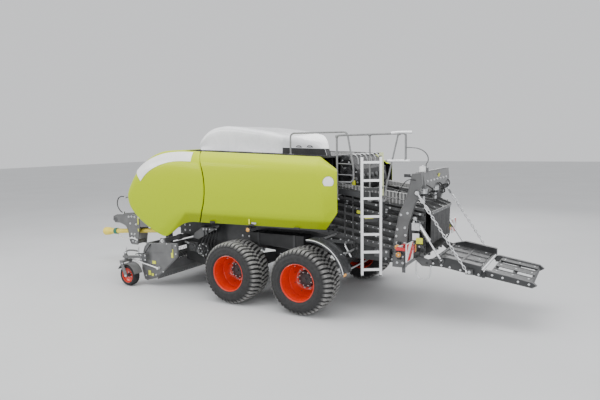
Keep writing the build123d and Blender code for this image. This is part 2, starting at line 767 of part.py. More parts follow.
# ----------------------------------------------------------------- pickup
pick_half = 1180.0
lift_x, lift_z = 3010.0, 880.0
with BuildPart() as pickup_frame:
    for s in (1, -1):
        with BuildSketch(side_plane(s * (pick_half - 15))):
            with BuildLine():
                Polyline((3390, 812), (3090, 832), (3060, 925), (2960, 925), (2930, 843), (2640, 862), (2642, 613), (3167, 171), (3430, 92), (3500, 110),
                         (3563, 300), (3545, 560), (3470, 740), close=True)
            make_face()
        extrude(amount=15, both=True)
    with BuildSketch(side_plane(0)):
        with Locations((lift_x, lift_z)):
            Circle(42)
            Circle(34, mode=Mode.SUBTRACT)
    extrude(amount=pick_half - 30, both=True)
    # sheet behind the reel
    with BuildSketch(side_plane(0)):
        with BuildLine():
            Polyline((3010, 480), (2970, 460), (3010, 300), (3200, 130), (3215, 142), (3035, 310), close=True)
        make_face()
    extrude(amount=pick_half - 40, both=True)
    # arms that carry the gauge wheels
    for s in (1, -1):
        with Locations(at(3450, s * 1210, 540)):
            Box(140, 60, 120)
        # pivot pin of the crop roller's arms
        with BuildSketch(Plane(origin=at(3110, s * 1152, 700), z_dir=(0, -s, 0))):
            Circle(10)
        extrude(amount=72)
        with BuildSketch(plan_plane(520)):
            with BuildLine():
                Polyline((3400, s * 1181), (3400, s * 1240), (3560, s * 1260), (3760, s * 1360),
                         (3870, s * 1360), (3870, s * 1300), (3780, s * 1295), (3520, s * 1181), close=True)
            make_face()
        extrude(amount=40)
        with Locations(at(caster_x, s * gauge_y, 540)):
            Cylinder(34, 100)
            Cylinder(20.3, 120, mode=Mode.SUBTRACT)
write(pickup_frame.part, "pickup_frame")

reel_x, reel_z = 3290.0, 365.0
with BuildPart() as pickup_reel:
    with BuildSketch(side_plane(0)):
        with Locations((reel_x, reel_z)):
            Circle(155)
            Circle(148, mode=Mode.SUBTRACT)
    extrude(amount=pick_half - 75, both=True)
    with BuildSketch(side_plane(0)):
        with Locations((reel_x, reel_z)):
            Circle(30)
    extrude(amount=pick_half - 62, both=True)
    for y in (-1100, 0, 1100):
        with BuildSketch(side_plane(y)):
            with Locations((reel_x, reel_z)):
                Circle(150)
        extrude(amount=5, both=True)
write(pickup_reel.part, "pickup_reel")

# crop roller in front of the reel, on two arms
roller_x, roller_z = 3440.0, 640.0
with BuildPart() as crop_roller:
    with BuildSketch(side_plane(0)):
        with Locations((roller_x, roller_z)):
            Circle(60)
        with Locations((roller_x, roller_z)):
            Circle(54, mode=Mode.SUBTRACT)
    extrude(amount=pick_half - 96, both=True)
    for s in (1, -1):
        with BuildSketch(side_plane(s * (pick_half - 85))):
            with BuildLine():
                Polyline((3085, 718), (3085, 680), (3440, 585), (3510, 600), (3510, 680), (3440, 700), close=True)
            make_face()
            with Locations((3110, 700)):
                Circle(22)
                Circle(10.3, mode=Mode.SUBTRACT)
        extrude(amount=12, both=True)
write(crop_roller.part, "crop_roller")

for side, s in (("left", 1), ("right", -1)):
    with BuildPart() as gauge_fork:
        with Locations(at(caster_x, s * gauge_y, 545)):
            Cylinder(20, 130)
        with Locations(at(caster_x, s * gauge_y, 466)):
            Box(90, 240, 36)
        for q in (1, -1):
            with BuildSketch(side_plane(s * gauge_y + q * 100)):
                with BuildLine():
                    Polyline((caster_x - 45, 484), (caster_x + 45, 484), (caster_x + 45, 430),
                             (gauge_x + 30, 175), (gauge_x - 30, 175), (gauge_x - 30, 240), (caster_x - 30, 420), (caster_x - 45, 448), close=True)
                make_face()
            extrude(amount=8, both=True)
        with BuildSketch(side_plane(s * gauge_y)):
            with Locations((gauge_x, gauge_r)):
                Circle(12)
        extrude(amount=100, both=True)
    write(gauge_fork.part, "gauge_fork_" + side)
    gprof = Plane(origin=at(gauge_x, s * gauge_y, gauge_r), x_dir=(1, 0, 0), z_dir=(0, 0, -1))
    with BuildPart() as gauge_wheel:
        with BuildSketch(gprof):
            with BuildLine():
                Polyline((12.3, -60), (60, -60), (100, -50), (112, -66), (150, -75), (185, -62), (gauge_r, -30),
                         (gauge_r, 30), (185, 62), (150, 75), (112, 66), (100, 50), (60, 60), (12.3, 60), close=True)
            make_face()
        revolve(axis=Axis(at(gauge_x, s * gauge_y, gauge_r), (0, 1, 0)))
    write(gauge_wheel.part, "gauge_wheel_" + side)

# -------------------------------------------------------------------- chute
ct = math.tan(math.radians(chute_slope))
with BuildPart() as chute_main:
    for s in (1, -1):
        with BuildSketch(side_plane(s * 660)):
            with BuildLine():
                Polyline((chute_hinge_x + 28, 815), (chute_hinge_x + 28, 880), (-1800, 900), (-1900, 930), (-2040, 962), (-2530, 880),
                         (-2530, 722), (-2270, 765), (-2020, 805), close=True)
            make_face()
        extrude(amount=35, both=True)
        # lugs for the chains
        with Locations(at(chain_low[0], s * 722, chain_low[1] + 14)):
            Box(90, 60, 60)
        # hinge pin, and the stub for the cylinder's eye
        with BuildSketch(Plane(origin=at(chute_hinge_x, s * 690, chute_hinge_z), z_dir=(0, s, 0))):
            Circle(20)
        extrude(amount=25)
        with BuildSketch(Plane(origin=at(cyl_low[0], s * 690, cyl_low[1]), z_dir=(0, s, 0))):
            Circle(20)
        extrude(amount=22)
        # ears of the folding end section
        with BuildSketch(side_plane(s * 592)):
            with BuildLine():
                Polyline((-2470, 800), (-2470, 745), (-2530, 690), (-2570, 690), (-2575, 735), (-2530, 800), close=True)
            make_face()
            with Locations((chute_fold_x, chute_fold_z)):
                Circle(14.3, mode=Mode.SUBTRACT)
        extrude(amount=9, both=True)
    for rx in (-1860, -2190, -2500):
        with BuildSketch(side_plane(0)):
            with Locations((rx, 885 + ct * (rx + 1860))):
                Circle(30)
        extrude(amount=630, both=True)
    # deck strips between the rails
    for y in (-300, 0, 300):
        with BuildSketch(side_plane(y)):
            with BuildLine():
                Polyline((-1880, 878), (-1880, 892), (-2500, 892 - ct * 620), (-2500, 878 - ct * 620), close=True)
            make_face()
        extrude(amount=90, both=True)
write(chute_main.part, "chute_main")

with BuildPart() as chute_rear:
    for s in (1, -1):
        with BuildSketch(side_plane(s * 540)):
            with BuildLine():
                Polyline((-2532, 695), (-2532, 735), (-2570, 800), (-3180, 800 - ct * 620), (-3240, 645), (-3180, 610), (-2600, 695), close=True)
            make_face()
        extrude(amount=30, both=True)
        with BuildSketch(Plane(origin=at(chute_fold_x, s * 565, chute_fold_z), z_dir=(0, s, 0))):
            Circle(14)
        extrude(amount=36)
    for rx in (-2640, -2900, -3160):
        with BuildSketch(side_plane(0)):
            with Locations((rx, 745 + ct * (rx + 2560))):
                Circle(30)
        extrude(amount=515, both=True)
write(chute_rear.part, "chute_rear")

with BuildPart() as chains:
    for s in (1, -1):
        cpl, clen = rod_plane((chain_top[0], s * chain_y, chain_top[1]), (chain_low[0], s * chain_y, chain_low[1]))
        with BuildSketch(cpl.offset(22)):
            Circle(12)
        extrude(amount=clen - 30)
        with BuildSketch(side_plane(s * chain_y)):
            with Locations(chain_top):
                Circle(30)
                Circle(16.3, mode=Mode.SUBTRACT)
        extrude(amount=10, both=True)
write(chains.part, "chains")

# fold cylinders of the chute
with BuildPart() as chute_barrels:
    for s in (1, -1):
        bpl, blen = rod_plane((cyl_top[0], s * cyl_y, cyl_top[1]), (cyl_low[0], s * cyl_y, cyl_low[1]))
        with BuildSketch(bpl.offset(64)):
            Circle(30)
        extrude(amount=316)
        with BuildSketch(bpl.offset(18)):
            Circle(11)
        extrude(amount=50)
        with BuildSketch(bpl.offset(80)):
            Circle(14.5)
        extrude(amount=310, mode=Mode.SUBTRACT)
        with BuildSketch(side_plane(s * cyl_y)):
            with Locations(cyl_top):
                Circle(26)
                Circle(12.3, mode=Mode.SUBTRACT)
        extrude(amount=14, both=True)
write(chute_barrels.part, "chute_barrels")

with BuildPart() as chute_rods:
    for s in (1, -1):
        bpl, blen = rod_plane((cyl_top[0], s * cyl_y, cyl_top[1]), (cyl_low[0], s * cyl_y, cyl_low[1]))
        with BuildSketch(bpl.offset(340)):
            Circle(14)
        extrude(amount=blen - 340)
write(chute_rods.part, "chute_rods")

# ----------------------------------------------------- rails, ladder, lamps
def tube(path_points, r, radius):
    """Bent tube through stations (x, y, z)."""
    pts = [at(*p) for p in path_points]
    with BuildPart() as t:
        with BuildLine() as ln:
            if len(pts) > 2:
                FilletPolyline(*pts, radius=radius)
            else:
                Line(*pts)
        with BuildSketch(Plane(origin=ln.line @ 0, z_dir=ln.line % 0)):
            Circle(r)
        sweep()
    return t.part


rail_y = 1000.0
# columns: points (station, width, height), tube radius, bend radius
rail_runs = (
    (((340, rail_y, roof_z(360) + 1), (340, rail_y, 2780), (-640, rail_y, 2780), (-740, rail_y, 2240), (-740, rail_y, 2030), (-482, rail_y, 2030)), 14, 70),
    (((-470, rail_y, 1762), (-470, rail_y, 2730), (-1540, rail_y, 2740), (-1540, rail_y, 2350), (-1240, rail_y, 2350)), 15.5, 40),
    (((-1000, rail_y, 1762), (-1000, rail_y, 2731)), 12.5, 40),
    (((-1430, rail_y, 2734), (-1200, rail_y, 1762)), 12, 40),
    (((-470, 702, 1830), (-470, rail_y, 1830)), 11, 40),
    (((-1000, 702, 1800), (-1000, rail_y, 1800)), 10, 40),
    (((-1209, 702, 1780), (-1209, rail_y, 1780)), 9.5, 40),
)
with BuildPart() as handrails:
    for run, r, bend in rail_runs:
        add(tube(run, r, bend))
write(handrails.part, "handrails")

# ladder: rungs turned 30 degrees, so it faces back and outwards
lad_dir = Vector(-0.868, -0.496, 0)
lad_nrm = Vector(-0.496, 0.868, 0)
lad_a = Vector(-990, 1270, 0)
lad_w = 262.0
with BuildPart() as ladder:
    for k in (0, 1):
        c = lad_a + lad_dir * (lad_w * k)
        with BuildSketch(Plane(origin=at(c.X, c.Y, 700), x_dir=(lad_dir.X, lad_dir.Y, 0), z_dir=(0, 0, 1))):
            Rectangle(28, 62)
        extrude(amount=1730)
    for k in range(7):
        c = lad_a
        with BuildSketch(Plane(origin=at(c.X, c.Y, 790 + 258 * k), z_dir=lad_dir)):
            Rectangle(40, 30)
        extrude(amount=lad_w)
write(ladder.part, "ladder")

with BuildPart() as ladder_mount:
    for mz in (1500, 1950):
        c = lad_a + lad_nrm * (-62)
        with BuildSketch(Plane(origin=at(c.X, c.Y, mz), z_dir=lad_dir)):
            Rectangle(40, 40)
        extrude(amount=lad_w)
        with Locations(at(-1140, 902.5, mz)):
            Box(50, 405, 40)
    with Locations(at(-1140, 820, 1725)):
        Box(50, 40, 450)
write(ladder_mount.part, "ladder_mount")

with BuildPart() as fenders:
    for s in (1, -1):
        with BuildSketch(side_plane(s * 1310)):
            with BuildLine():
                ThreePointArc((-170, 1195), (-560, 1075), (-775, 730))
                Line((-775, 730), (-763, 724))
                ThreePointArc((-763, 724), (-552, 1063), (-168, 1181))
                Line((-168, 1181), (-170, 1195))
            make_face()
        extrude(amount=150, both=True)
        for ax, az in ((-300, 1172), (-660, 972)):
            with BuildSketch(side_plane(s * 930.5)):
                with Locations((ax, az)):
                    Circle(16)
            extrude(amount=230, both=True)
write(fenders.part, "fenders")

with BuildPart() as warning_boards:
    for s in (1, -1):
        with Locations(at(-1485, s * 985, 1120)):
            Box(40, 400, 40)
        with Locations(at(-1575, s * 1165, 1120)):
            Box(220, 40, 40)
        with Locations(at(-1690, s * 1270, 1120)):
            Box(10, 280, 240)
write(warning_boards.part, "warning_boards")

with BuildPart() as side_bow:
    add(tube([(-1622, 728, 860), (-1622, 728, 610), (-1835, 728, 610), (-1835, 728, 825)], 11, 95))
write(side_bow.part, "side_bow")

# hoses and cables between two fixed ends; columns: name, radius, route
held_lines = (
    ("front_hose", 12.0, ((5243, 0, 1491), (5310, 3, 1503), (5372, 10, 1500), (5425, 22, 1475), (5448, 40, 1420), (5447, 58, 1355),
                          (5412, 80, 1282), (5330, 104, 1212), (5268, 120, 1178), (5228, 125, 1167), (5191.5, 125, 1166))),
    ("rail_cable", 9.0, ((-1557, 1000, 2541), (-1620, 988, 2541), (-1685, 955, 2531), (-1745, 905, 2505), (-1785, 835, 2455),
                         (-1790, 750, 2395), (-1760, 650, 2335), (-1706, 545, 2300), (-1684, 494, 2268), (-1683, 490, 2237.5))),
    ("beam_cable", 6.0, ((-1615, 786, 2065), (-1612, 803, 2067), (-1590, 824, 2078), (-1545, 845, 2080), (-1490, 850, 2052), (-1440, 845, 1985), (-1395, 828, 1915),
                         (-1358, 790, 1862), (-1335, 735, 1830), (-1328, 690, 1812), (-1326, 680, 1768.5))),
)
for lname, lr, route in held_lines:
    lpts = [Vector(*at(*q)) for q in route]
    bends = []
    for a, b, c in zip(lpts, lpts[1:], lpts[2:]):
        turn = (b - a).get_angle(c - b)
        bends.append(0.45 * min((b - a).length, (c - b).length) / math.tan(math.radians(turn / 2)))
    with BuildPart() as held:
        with BuildLine() as ln:
            FilletPolyline(*lpts, radius=bends)
        with BuildSketch(Plane(origin=ln.line @ 0, z_dir=ln.line % 0)):
            Circle(lr)
        sweep()
    write(held.part, lname)

# rubber curtain that hangs in the mouth of the channel
with BuildPart() as mouth_curtain:
    with Locations(at(-1788, 0, 1338)):
        Box(8, 1130, 476)
write(mouth_curtain.part, "mouth_curtain")
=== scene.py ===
import bpy
import bmesh
import math
import random
from mathutils import Vector, Matrix, Quaternion


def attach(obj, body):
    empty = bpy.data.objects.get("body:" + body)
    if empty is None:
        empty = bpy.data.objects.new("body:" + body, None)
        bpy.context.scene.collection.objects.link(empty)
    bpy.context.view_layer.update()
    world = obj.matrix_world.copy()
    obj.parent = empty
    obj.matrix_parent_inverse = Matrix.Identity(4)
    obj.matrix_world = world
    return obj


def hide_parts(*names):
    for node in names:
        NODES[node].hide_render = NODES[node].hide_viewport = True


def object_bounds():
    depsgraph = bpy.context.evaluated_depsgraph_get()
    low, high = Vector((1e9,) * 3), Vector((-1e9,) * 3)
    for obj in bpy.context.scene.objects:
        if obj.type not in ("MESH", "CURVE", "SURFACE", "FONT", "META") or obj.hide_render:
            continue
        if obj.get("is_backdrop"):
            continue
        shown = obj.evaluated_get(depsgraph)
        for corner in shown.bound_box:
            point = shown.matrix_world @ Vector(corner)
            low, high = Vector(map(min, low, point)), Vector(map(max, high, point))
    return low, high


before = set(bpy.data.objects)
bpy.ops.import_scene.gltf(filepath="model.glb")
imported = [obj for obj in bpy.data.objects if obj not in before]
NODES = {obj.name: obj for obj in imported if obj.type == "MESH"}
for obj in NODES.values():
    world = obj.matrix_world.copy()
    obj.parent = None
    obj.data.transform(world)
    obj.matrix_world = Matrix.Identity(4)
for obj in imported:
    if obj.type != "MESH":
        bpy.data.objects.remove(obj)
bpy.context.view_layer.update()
random.seed(7)

# Lengths in metres.  Stations are counted from the rear axle, +X to the front.
RX = -1.358


def S(x, y, z):
    return Vector((x + RX, y, z))


# ------------------------------------------------------------------ camera
yaw, pitch, roll = math.radians(29.746), math.radians(6.229), math.radians(-0.920)
look = Vector((math.sin(yaw) * math.cos(pitch), -math.cos(yaw) * math.cos(pitch), -math.sin(pitch)))
right = look.cross(Vector((0, 0, 1))).normalized()
up = right.cross(look)
cam_x = right * math.cos(roll) + up * math.sin(roll)
cam_y = up * math.cos(roll) - right * math.sin(roll)
cam_data = bpy.data.cameras.new("camera")
cam_data.sensor_width = 36.0
cam_data.lens = 31.29
cam_data.clip_end = 200
cam = bpy.data.objects.new("camera", cam_data)
bpy.context.scene.collection.objects.link(cam)
m = Matrix((cam_x, cam_y, -look)).transposed().to_4x4()
m.translation = S(-3.888, 8.1245, 2.625)
cam.matrix_world = m
bpy.context.scene.camera = cam


# --------------------------------------------------------------- materials
class Mat:
    """Small helper that writes a node tree."""

    def __init__(self, name):
        self.m = bpy.data.materials.new(name)
        self.m.use_nodes = True
        self.nt = self.m.node_tree
        self.b = self.nt.nodes["Principled BSDF"]
        self.tc = self.nt.nodes.new("ShaderNodeTexCoord")

    def node(self, kind, **props):
        n = self.nt.nodes.new(kind)
        for k, v in props.items():
            setattr(n, k, v)
        return n

    def link(self, a, b):
        self.nt.links.new(a, b)

    def mapped(self, scale=(1, 1, 1), rot=(0, 0, 0)):
        mp = self.node("ShaderNodeMapping")
        mp.inputs["Scale"].default_value = scale
        mp.inputs["Rotation"].default_value = rot
        self.link(self.tc.outputs["Object"], mp.inputs["Vector"])
        return mp.outputs["Vector"]

    def noise(self, scale, detail=4, rough=.55, vec=None, dist=0.0):
        n = self.node("ShaderNodeTexNoise")
        n.inputs["Scale"].default_value = scale
        n.inputs["Detail"].default_value = detail
        n.inputs["Roughness"].default_value = rough
        n.inputs["Distortion"].default_value = dist
        self.link(vec if vec is not None else self.tc.outputs["Object"], n.inputs["Vector"])
        return n.outputs["Fac"]

    def ramp(self, fac, stops, interp="LINEAR"):
        r = self.node("ShaderNodeValToRGB")
        r.color_ramp.interpolation = interp
        el = r.color_ramp.elements
        while len(el) < len(stops):
            el.new(.5)
        for e, (p, c) in zip(el, stops):
            e.position = p
            e.color = (*c, 1) if len(c) == 3 else c
        self.link(fac, r.inputs["Fac"])
        return r.outputs["Color"]

    def value(self, fac, lo, hi, a=.3, b=.7):
        r = self.node("ShaderNodeMapRange")
        r.inputs["From Min"].default_value = a
        r.inputs["From Max"].default_value = b
        r.inputs["To Min"].default_value = lo
        r.inputs["To Max"].default_value = hi
        self.link(fac, r.inputs["Value"])
        return r.outputs["Result"]

    def mix(self, fac, a, b, blend="MIX"):
        n = self.node("ShaderNodeMix", data_type="RGBA", blend_type=blend)
        if isinstance(fac, float):
            n.inputs["Factor"].default_value = fac
        else:
            self.link(fac, n.inputs["Factor"])
        for s, v in ((n.inputs[6], a), (n.inputs[7], b)):
            if isinstance(v, (tuple, list)):
                s.default_value = (*v, 1) if len(v) == 3 else v
            else:
                self.link(v, s)
        return n.outputs[2]

    def math(self, op, a, b=None, clamp=False):
        n = self.node("ShaderNodeMath", operation=op, use_clamp=clamp)
        for k, v in enumerate((a, b)):
            if v is None:
                continue
            if isinstance(v, (int, float)):
                n.inputs[k].default_value = v
            else:
                self.link(v, n.inputs[k])
        return n.outputs[0]

    def axis(self, which):
        n = self.node("ShaderNodeSeparateXYZ")
        self.link(self.tc.outputs["Object"], n.inputs[0])
        return n.outputs["XYZ".index(which)]

    def bump(self, height, strength=.2, distance=.002, base=None):
        n = self.node("ShaderNodeBump")
        n.inputs["Strength"].default_value = strength
        n.inputs["Distance"].default_value = distance
        self.link(height, n.inputs["Height"])
        if base is not None:
            self.link(base, n.inputs["Normal"])
        self.link(n.outputs["Normal"], self.b.inputs["Normal"])
        return n.outputs["Normal"]

    def set(self, **kw):
        for k, v in kw.items():
            s = self.b.inputs[k.replace("_", " ")]
            if isinstance(v, bpy.types.NodeSocket):
                self.link(v, s)
            else:
                s.default_value = v
        return self


def paint(name, dark, light, rough=(.28, .42), coat=.0, metal=0.0, scale=6, bump=.05, fine=900, dust=None):
    t = Mat(name)
    col = t.ramp(t.noise(scale, 6), ((.3, dark), (.7, light)))
    if dust:
        n = t.node("ShaderNodeNewGeometry")
        sx = t.node("ShaderNodeSeparateXYZ")
        t.link(n.outputs["Normal"], sx.inputs[0])
        f = t.math("MULTIPLY", t.value(sx.outputs[2], 0, .55, .2, 1), t.value(t.noise(9, 8, .7), .1, 1, .35, .65))
        col = t.mix(f, col, dust)
    t.set(Base_Color=col, Metallic=metal, Roughness=t.value(t.noise(scale * 4, 5), *rough), Coat_Weight=coat, Coat_Roughness=.06)
    t.bump(t.noise(fine, 2), bump, .0006)
    return t.m


def lime_paint():
    t = Mat("lime_paint")
    z, x = t.axis("Z"), t.axis("X")
    # body colour with painted sky reflection: paler towards the top, where the shell turns to the sky
    base = t.ramp(t.value(z, 0, 1, 1.1, 2.6), ((.0, (.37, .50, .0)), (.30, (.41, .535, .0)), (.62, (.44, .555, .0)), (.80, (.475, .58, .006)), (1, (.53, .625, .035))))
    # painted shade: the band below the lower fold, where the shell tucks under, is darker; the fold follows the arch of
    # the hood
    fold = t.math("SUBTRACT", 1.478, t.value(x, 0, .50, 2.32 + RX, 2.86 + RX))
    low = t.math("MULTIPLY", t.math("SUBTRACT", fold, z), 18.0)
    low = t.math("MINIMUM", t.math("MAXIMUM", low, 0.0), 1.0)
    col = t.mix(t.math("MULTIPLY", low, .85), base, (.235, .300, .0))
    col = t.mix(t.math("MULTIPLY", t.noise(1.7, 3), .05), col, (.46, .54, .01))
    t.set(Base_Color=col, Roughness=t.value(t.noise(30, 4), .26, .34), Coat_Weight=.07, Coat_Roughness=.08, Specular_IOR_Level=.20, Specular_Tint=(.80, .95, .08, 1))
    t.bump(t.noise(260, 2), .035, .0008)
    return t.m


def rubber(name, dark=(.012, .012, .013), light=(.03, .03, .031), top=(.36, .355, .345)):
    t = Mat(name)
    col = t.ramp(t.noise(14, 8, .7), ((.3, dark), (.75, light)))
    # the tops of the blocks are worn paler: distance from the wheel's axle is in the vertex colour
    vc = t.node("ShaderNodeVertexColor", layer_name="wear")
    col = t.mix(t.math("MULTIPLY", vc.outputs["Color"], t.value(t.noise(60, 6, .7), .35, 1)), col, top)
    t.set(Base_Color=col, Roughness=t.value(t.noise(40, 5), .55, .8), Specular_IOR_Level=.35)
    t.bump(t.math("ADD", t.noise(190, 6, .7), t.noise(700, 2)), .25, .0015)
    return t.m


def zinc():
    t = Mat("zinc_plated")
    v = t.node("ShaderNodeTexVoronoi")
    v.inputs["Scale"].default_value = 55
    t.link(t.tc.outputs["Object"], v.inputs["Vector"])
    col = t.ramp(v.outputs["Distance"], ((.0, (.58, .59, .60)), (.8, (.80, .81, .82))))
    t.set(Base_Color=col, Metallic=.85, Roughness=t.value(t.noise(70, 5), .26, .5))
    t.bump(t.noise(350, 3), .08, .0006)
    return t.m


def aluminium():
    t = Mat("brushed_aluminium")
    n = t.noise(24, 6, .6, t.mapped((40, 40, 2)))
    col = t.ramp(n, ((.3, (.76, .77, .78)), (.7, (.93, .935, .94))))
    t.set(Base_Color=col, Metallic=.55, Roughness=t.value(n, .32, .48))
    t.bump(n, .12, .0006)
    return t.m


def striped_board():
    t = Mat("striped_reflector")
    y, z = t.axis("Y"), t.axis("Z")
    d = t.math("MODULO", t.math("ADD", t.math("ADD", t.math("ABSOLUTE", y), z), 10.03), .27)
    hard = t.math("GREATER_THAN", d, .135)
    bead = t.value(t.noise(1400, 1), .92, 1)
    col = t.mix(hard, (.84, .84, .82), (.62, .012, .02))
    t.set(Base_Color=t.mix(t.math("SUBTRACT", 1.0, bead), col, (.3, .3, .3)), Roughness=t.value(t.noise(40, 3), .22, .34), Coat_Weight=.5)
    v = t.node("ShaderNodeTexVoronoi")
    v.inputs["Scale"].default_value = 380
    t.link(t.tc.outputs["Object"], v.inputs["Vector"])
    t.bump(v.outputs["Distance"], .12, .0008)
    return t.m


def tread_deck():
    """Walkway sheet with raised slanting bars."""
    t = Mat("tread_deck")
    a = t.node("ShaderNodeTexWave", wave_type="BANDS", bands_direction="X")
    a.inputs["Scale"].default_value = 7
    t.link(t.mapped((1, 1, 1), (0, 0, math.radians(35))), a.inputs["Vector"])
    b = t.node("ShaderNodeTexWave", wave_type="BANDS", bands_direction="X")
    b.inputs["Scale"].default_value = 7
    t.link(t.mapped((1, 1, 1), (0, 0, math.radians(-35))), b.inputs["Vector"])
    h = t.math("MAXIMUM", t.value(a.outputs["Fac"], 0, 1, .80, .9), t.value(b.outputs["Fac"], 0, 1, .80, .9))
    col = t.mix(h, (.16, .16, .16), (.46, .46, .45))
    t.set(Base_Color=col, Metallic=.3, Roughness=t.value(t.noise(50, 5), .4, .6))
    t.bump(h, .6, .003)
    return t.m


def lens(name, colour, glow=0.0):
    t = Mat(name)
    v = t.node("ShaderNodeTexVoronoi")
    v.inputs["Scale"].default_value = 130
    t.link(t.tc.outputs["Object"], v.inputs["Vector"])
    col = t.ramp(v.outputs["Distance"], ((0, colour), (1, tuple(min(1, c * 1.25 + .03) for c in colour))))
    t.set(Base_Color=col, Roughness=.12, Coat_Weight=1.0, Transmission_Weight=.15)
    t.bump(v.outputs["Distance"], .3, .001)
    return t.m


def curtain_rubber():
    t = Mat("curtain_rubber")
    col = t.ramp(t.noise(10, 8, .7), ((.3, (.035, .035, .036)), (.75, (.075, .075, .075))))
    t.set(Base_Color=col, Roughness=t.value(t.noise(30, 5), .5, .72))
    t.bump(t.noise(420, 5, .6), .3, .001)
    return t.m


def twine(name, a, b):
    t = Mat(name)
    w = t.node("ShaderNodeTexWave", wave_type="BANDS", bands_direction="Z")
    w.inputs["Scale"].default_value = 60
    w.inputs["Distortion"].default_value = 3
    t.link(t.tc.outputs["Object"], w.inputs["Vector"])
    t.set(Base_Color=t.ramp(w.outputs["Fac"], ((.2, a), (.8, b))), Roughness=.75)
    t.bump(w.outputs["Fac"], .6, .003)
    return t.m


M = {
    "lime": lime_paint(),
    "white": paint("white_gelcoat", (.74, .75, .77), (.88, .885, .89), (.22, .34), coat=.5, scale=2.2, bump=.03, fine=200),
    "white_mark": paint("white_film", (.86, .86, .85), (.95, .95, .94), (.3, .4), coat=.3, scale=5, bump=.02),
    # white turned grey: painted shade of the cover's recess; the small grey reflector on the doors uses it too
    "white_grey": paint("grey_reflector_and_painted_recess_shade", (.42, .43, .45), (.58, .59, .61), (.3, .45), coat=.3, scale=3, bump=.03),
    "chassis": paint("chassis_paint", (.020, .021, .022), (.042, .043, .045), (.34, .55), coat=.15, scale=7, bump=.12, fine=400, dust=(.10, .10, .098)),
    "channel": paint("channel_paint", (.050, .051, .052), (.100, .101, .102), (.32, .5), coat=.15, scale=9, bump=.12, fine=300, dust=(.17, .17, .165)),
    "arm": paint("arm_paint", (.105, .106, .107), (.150, .151, .152), (.32, .48), coat=.2, scale=6, bump=.1, fine=400, dust=(.2, .2, .2)),
    "shield": paint("shield_paint", (.095, .096, .098), (.145, .146, .148), (.34, .5), coat=.2, scale=5, bump=.1, fine=400, dust=(.24, .24, .235)),
    # near-black paint for black parts; in the rims' hand holes it is painted shade
    "dark": paint("near_black_paint_and_painted_hole_shade", (.010, .010, .011), (.022, .022, .023), (.4, .65), scale=8, bump=.15, fine=250),
    "red": paint("rim_enamel", (.60, .020, .003), (.72, .034, .005), (.26, .36), coat=.3, scale=8, bump=.05, fine=500),
    "hub": paint("hub_casting", (.030, .031, .033), (.075, .077, .080), (.35, .55), metal=.3, scale=30, bump=.35, fine=160),
    "rail": paint("rail_paint", (.16, .162, .165), (.24, .242, .245), (.3, .45), coat=.2, scale=20, bump=.08, fine=400),
    "yellow": paint("guard_plastic", (.78, .60, .05), (.88, .72, .10), (.34, .5), scale=12, bump=.15, fine=300),
    "green_ring": paint("green_plastic", (.0, .10, .07), (.01, .18, .12), (.35, .5), scale=14, bump=.15, fine=300),
    "yellow_tag": paint("yellow_film", (.62, .66, .03), (.76, .78, .06), (.3, .45), scale=20, bump=.03),
    "hose": paint("hose_rubber", (.010, .010, .011), (.028, .028, .029), (.35, .55), scale=50, bump=.3, fine=900),
    "pale_green": paint("pale_board", (.56, .62, .30), (.68, .72, .42), (.4, .55), scale=8, bump=.06),
    "cast": paint("cast_grey", (.06, .062, .064), (.13, .132, .134), (.38, .6), metal=.2, scale=26, bump=.4, fine=130),
    "zinc": zinc(),
    "alu": aluminium(),
    "board": striped_board(),
    "deck": tread_deck(),
    "amber": lens("amber_lens", (.90, .36, .03)),
    "lamp_white": lens("clear_lens", (.85, .82, .72)),
    "lamp_red": lens("red_lens", (.55, .01, .01)),
    "tyre": rubber("tyre_rubber"),
    "curtain": curtain_rubber(),
    "twine_a": twine("twine_blue", (.03, .09, .26), (.08, .20, .46)),
    "twine_b": twine("twine_orange", (.50, .16, .02), (.75, .30, .06)),
}


# ------------------------------------------------------------ mesh builder
def frame_of(d):
    """Two unit vectors square to d."""
    d = Vector(d).normalized()
    a = Vector((0, 0, 1)) if abs(d.z) < .9 else Vector((1, 0, 0))
    u = d.cross(a).normalized()
    return u, d.cross(u).normalized()


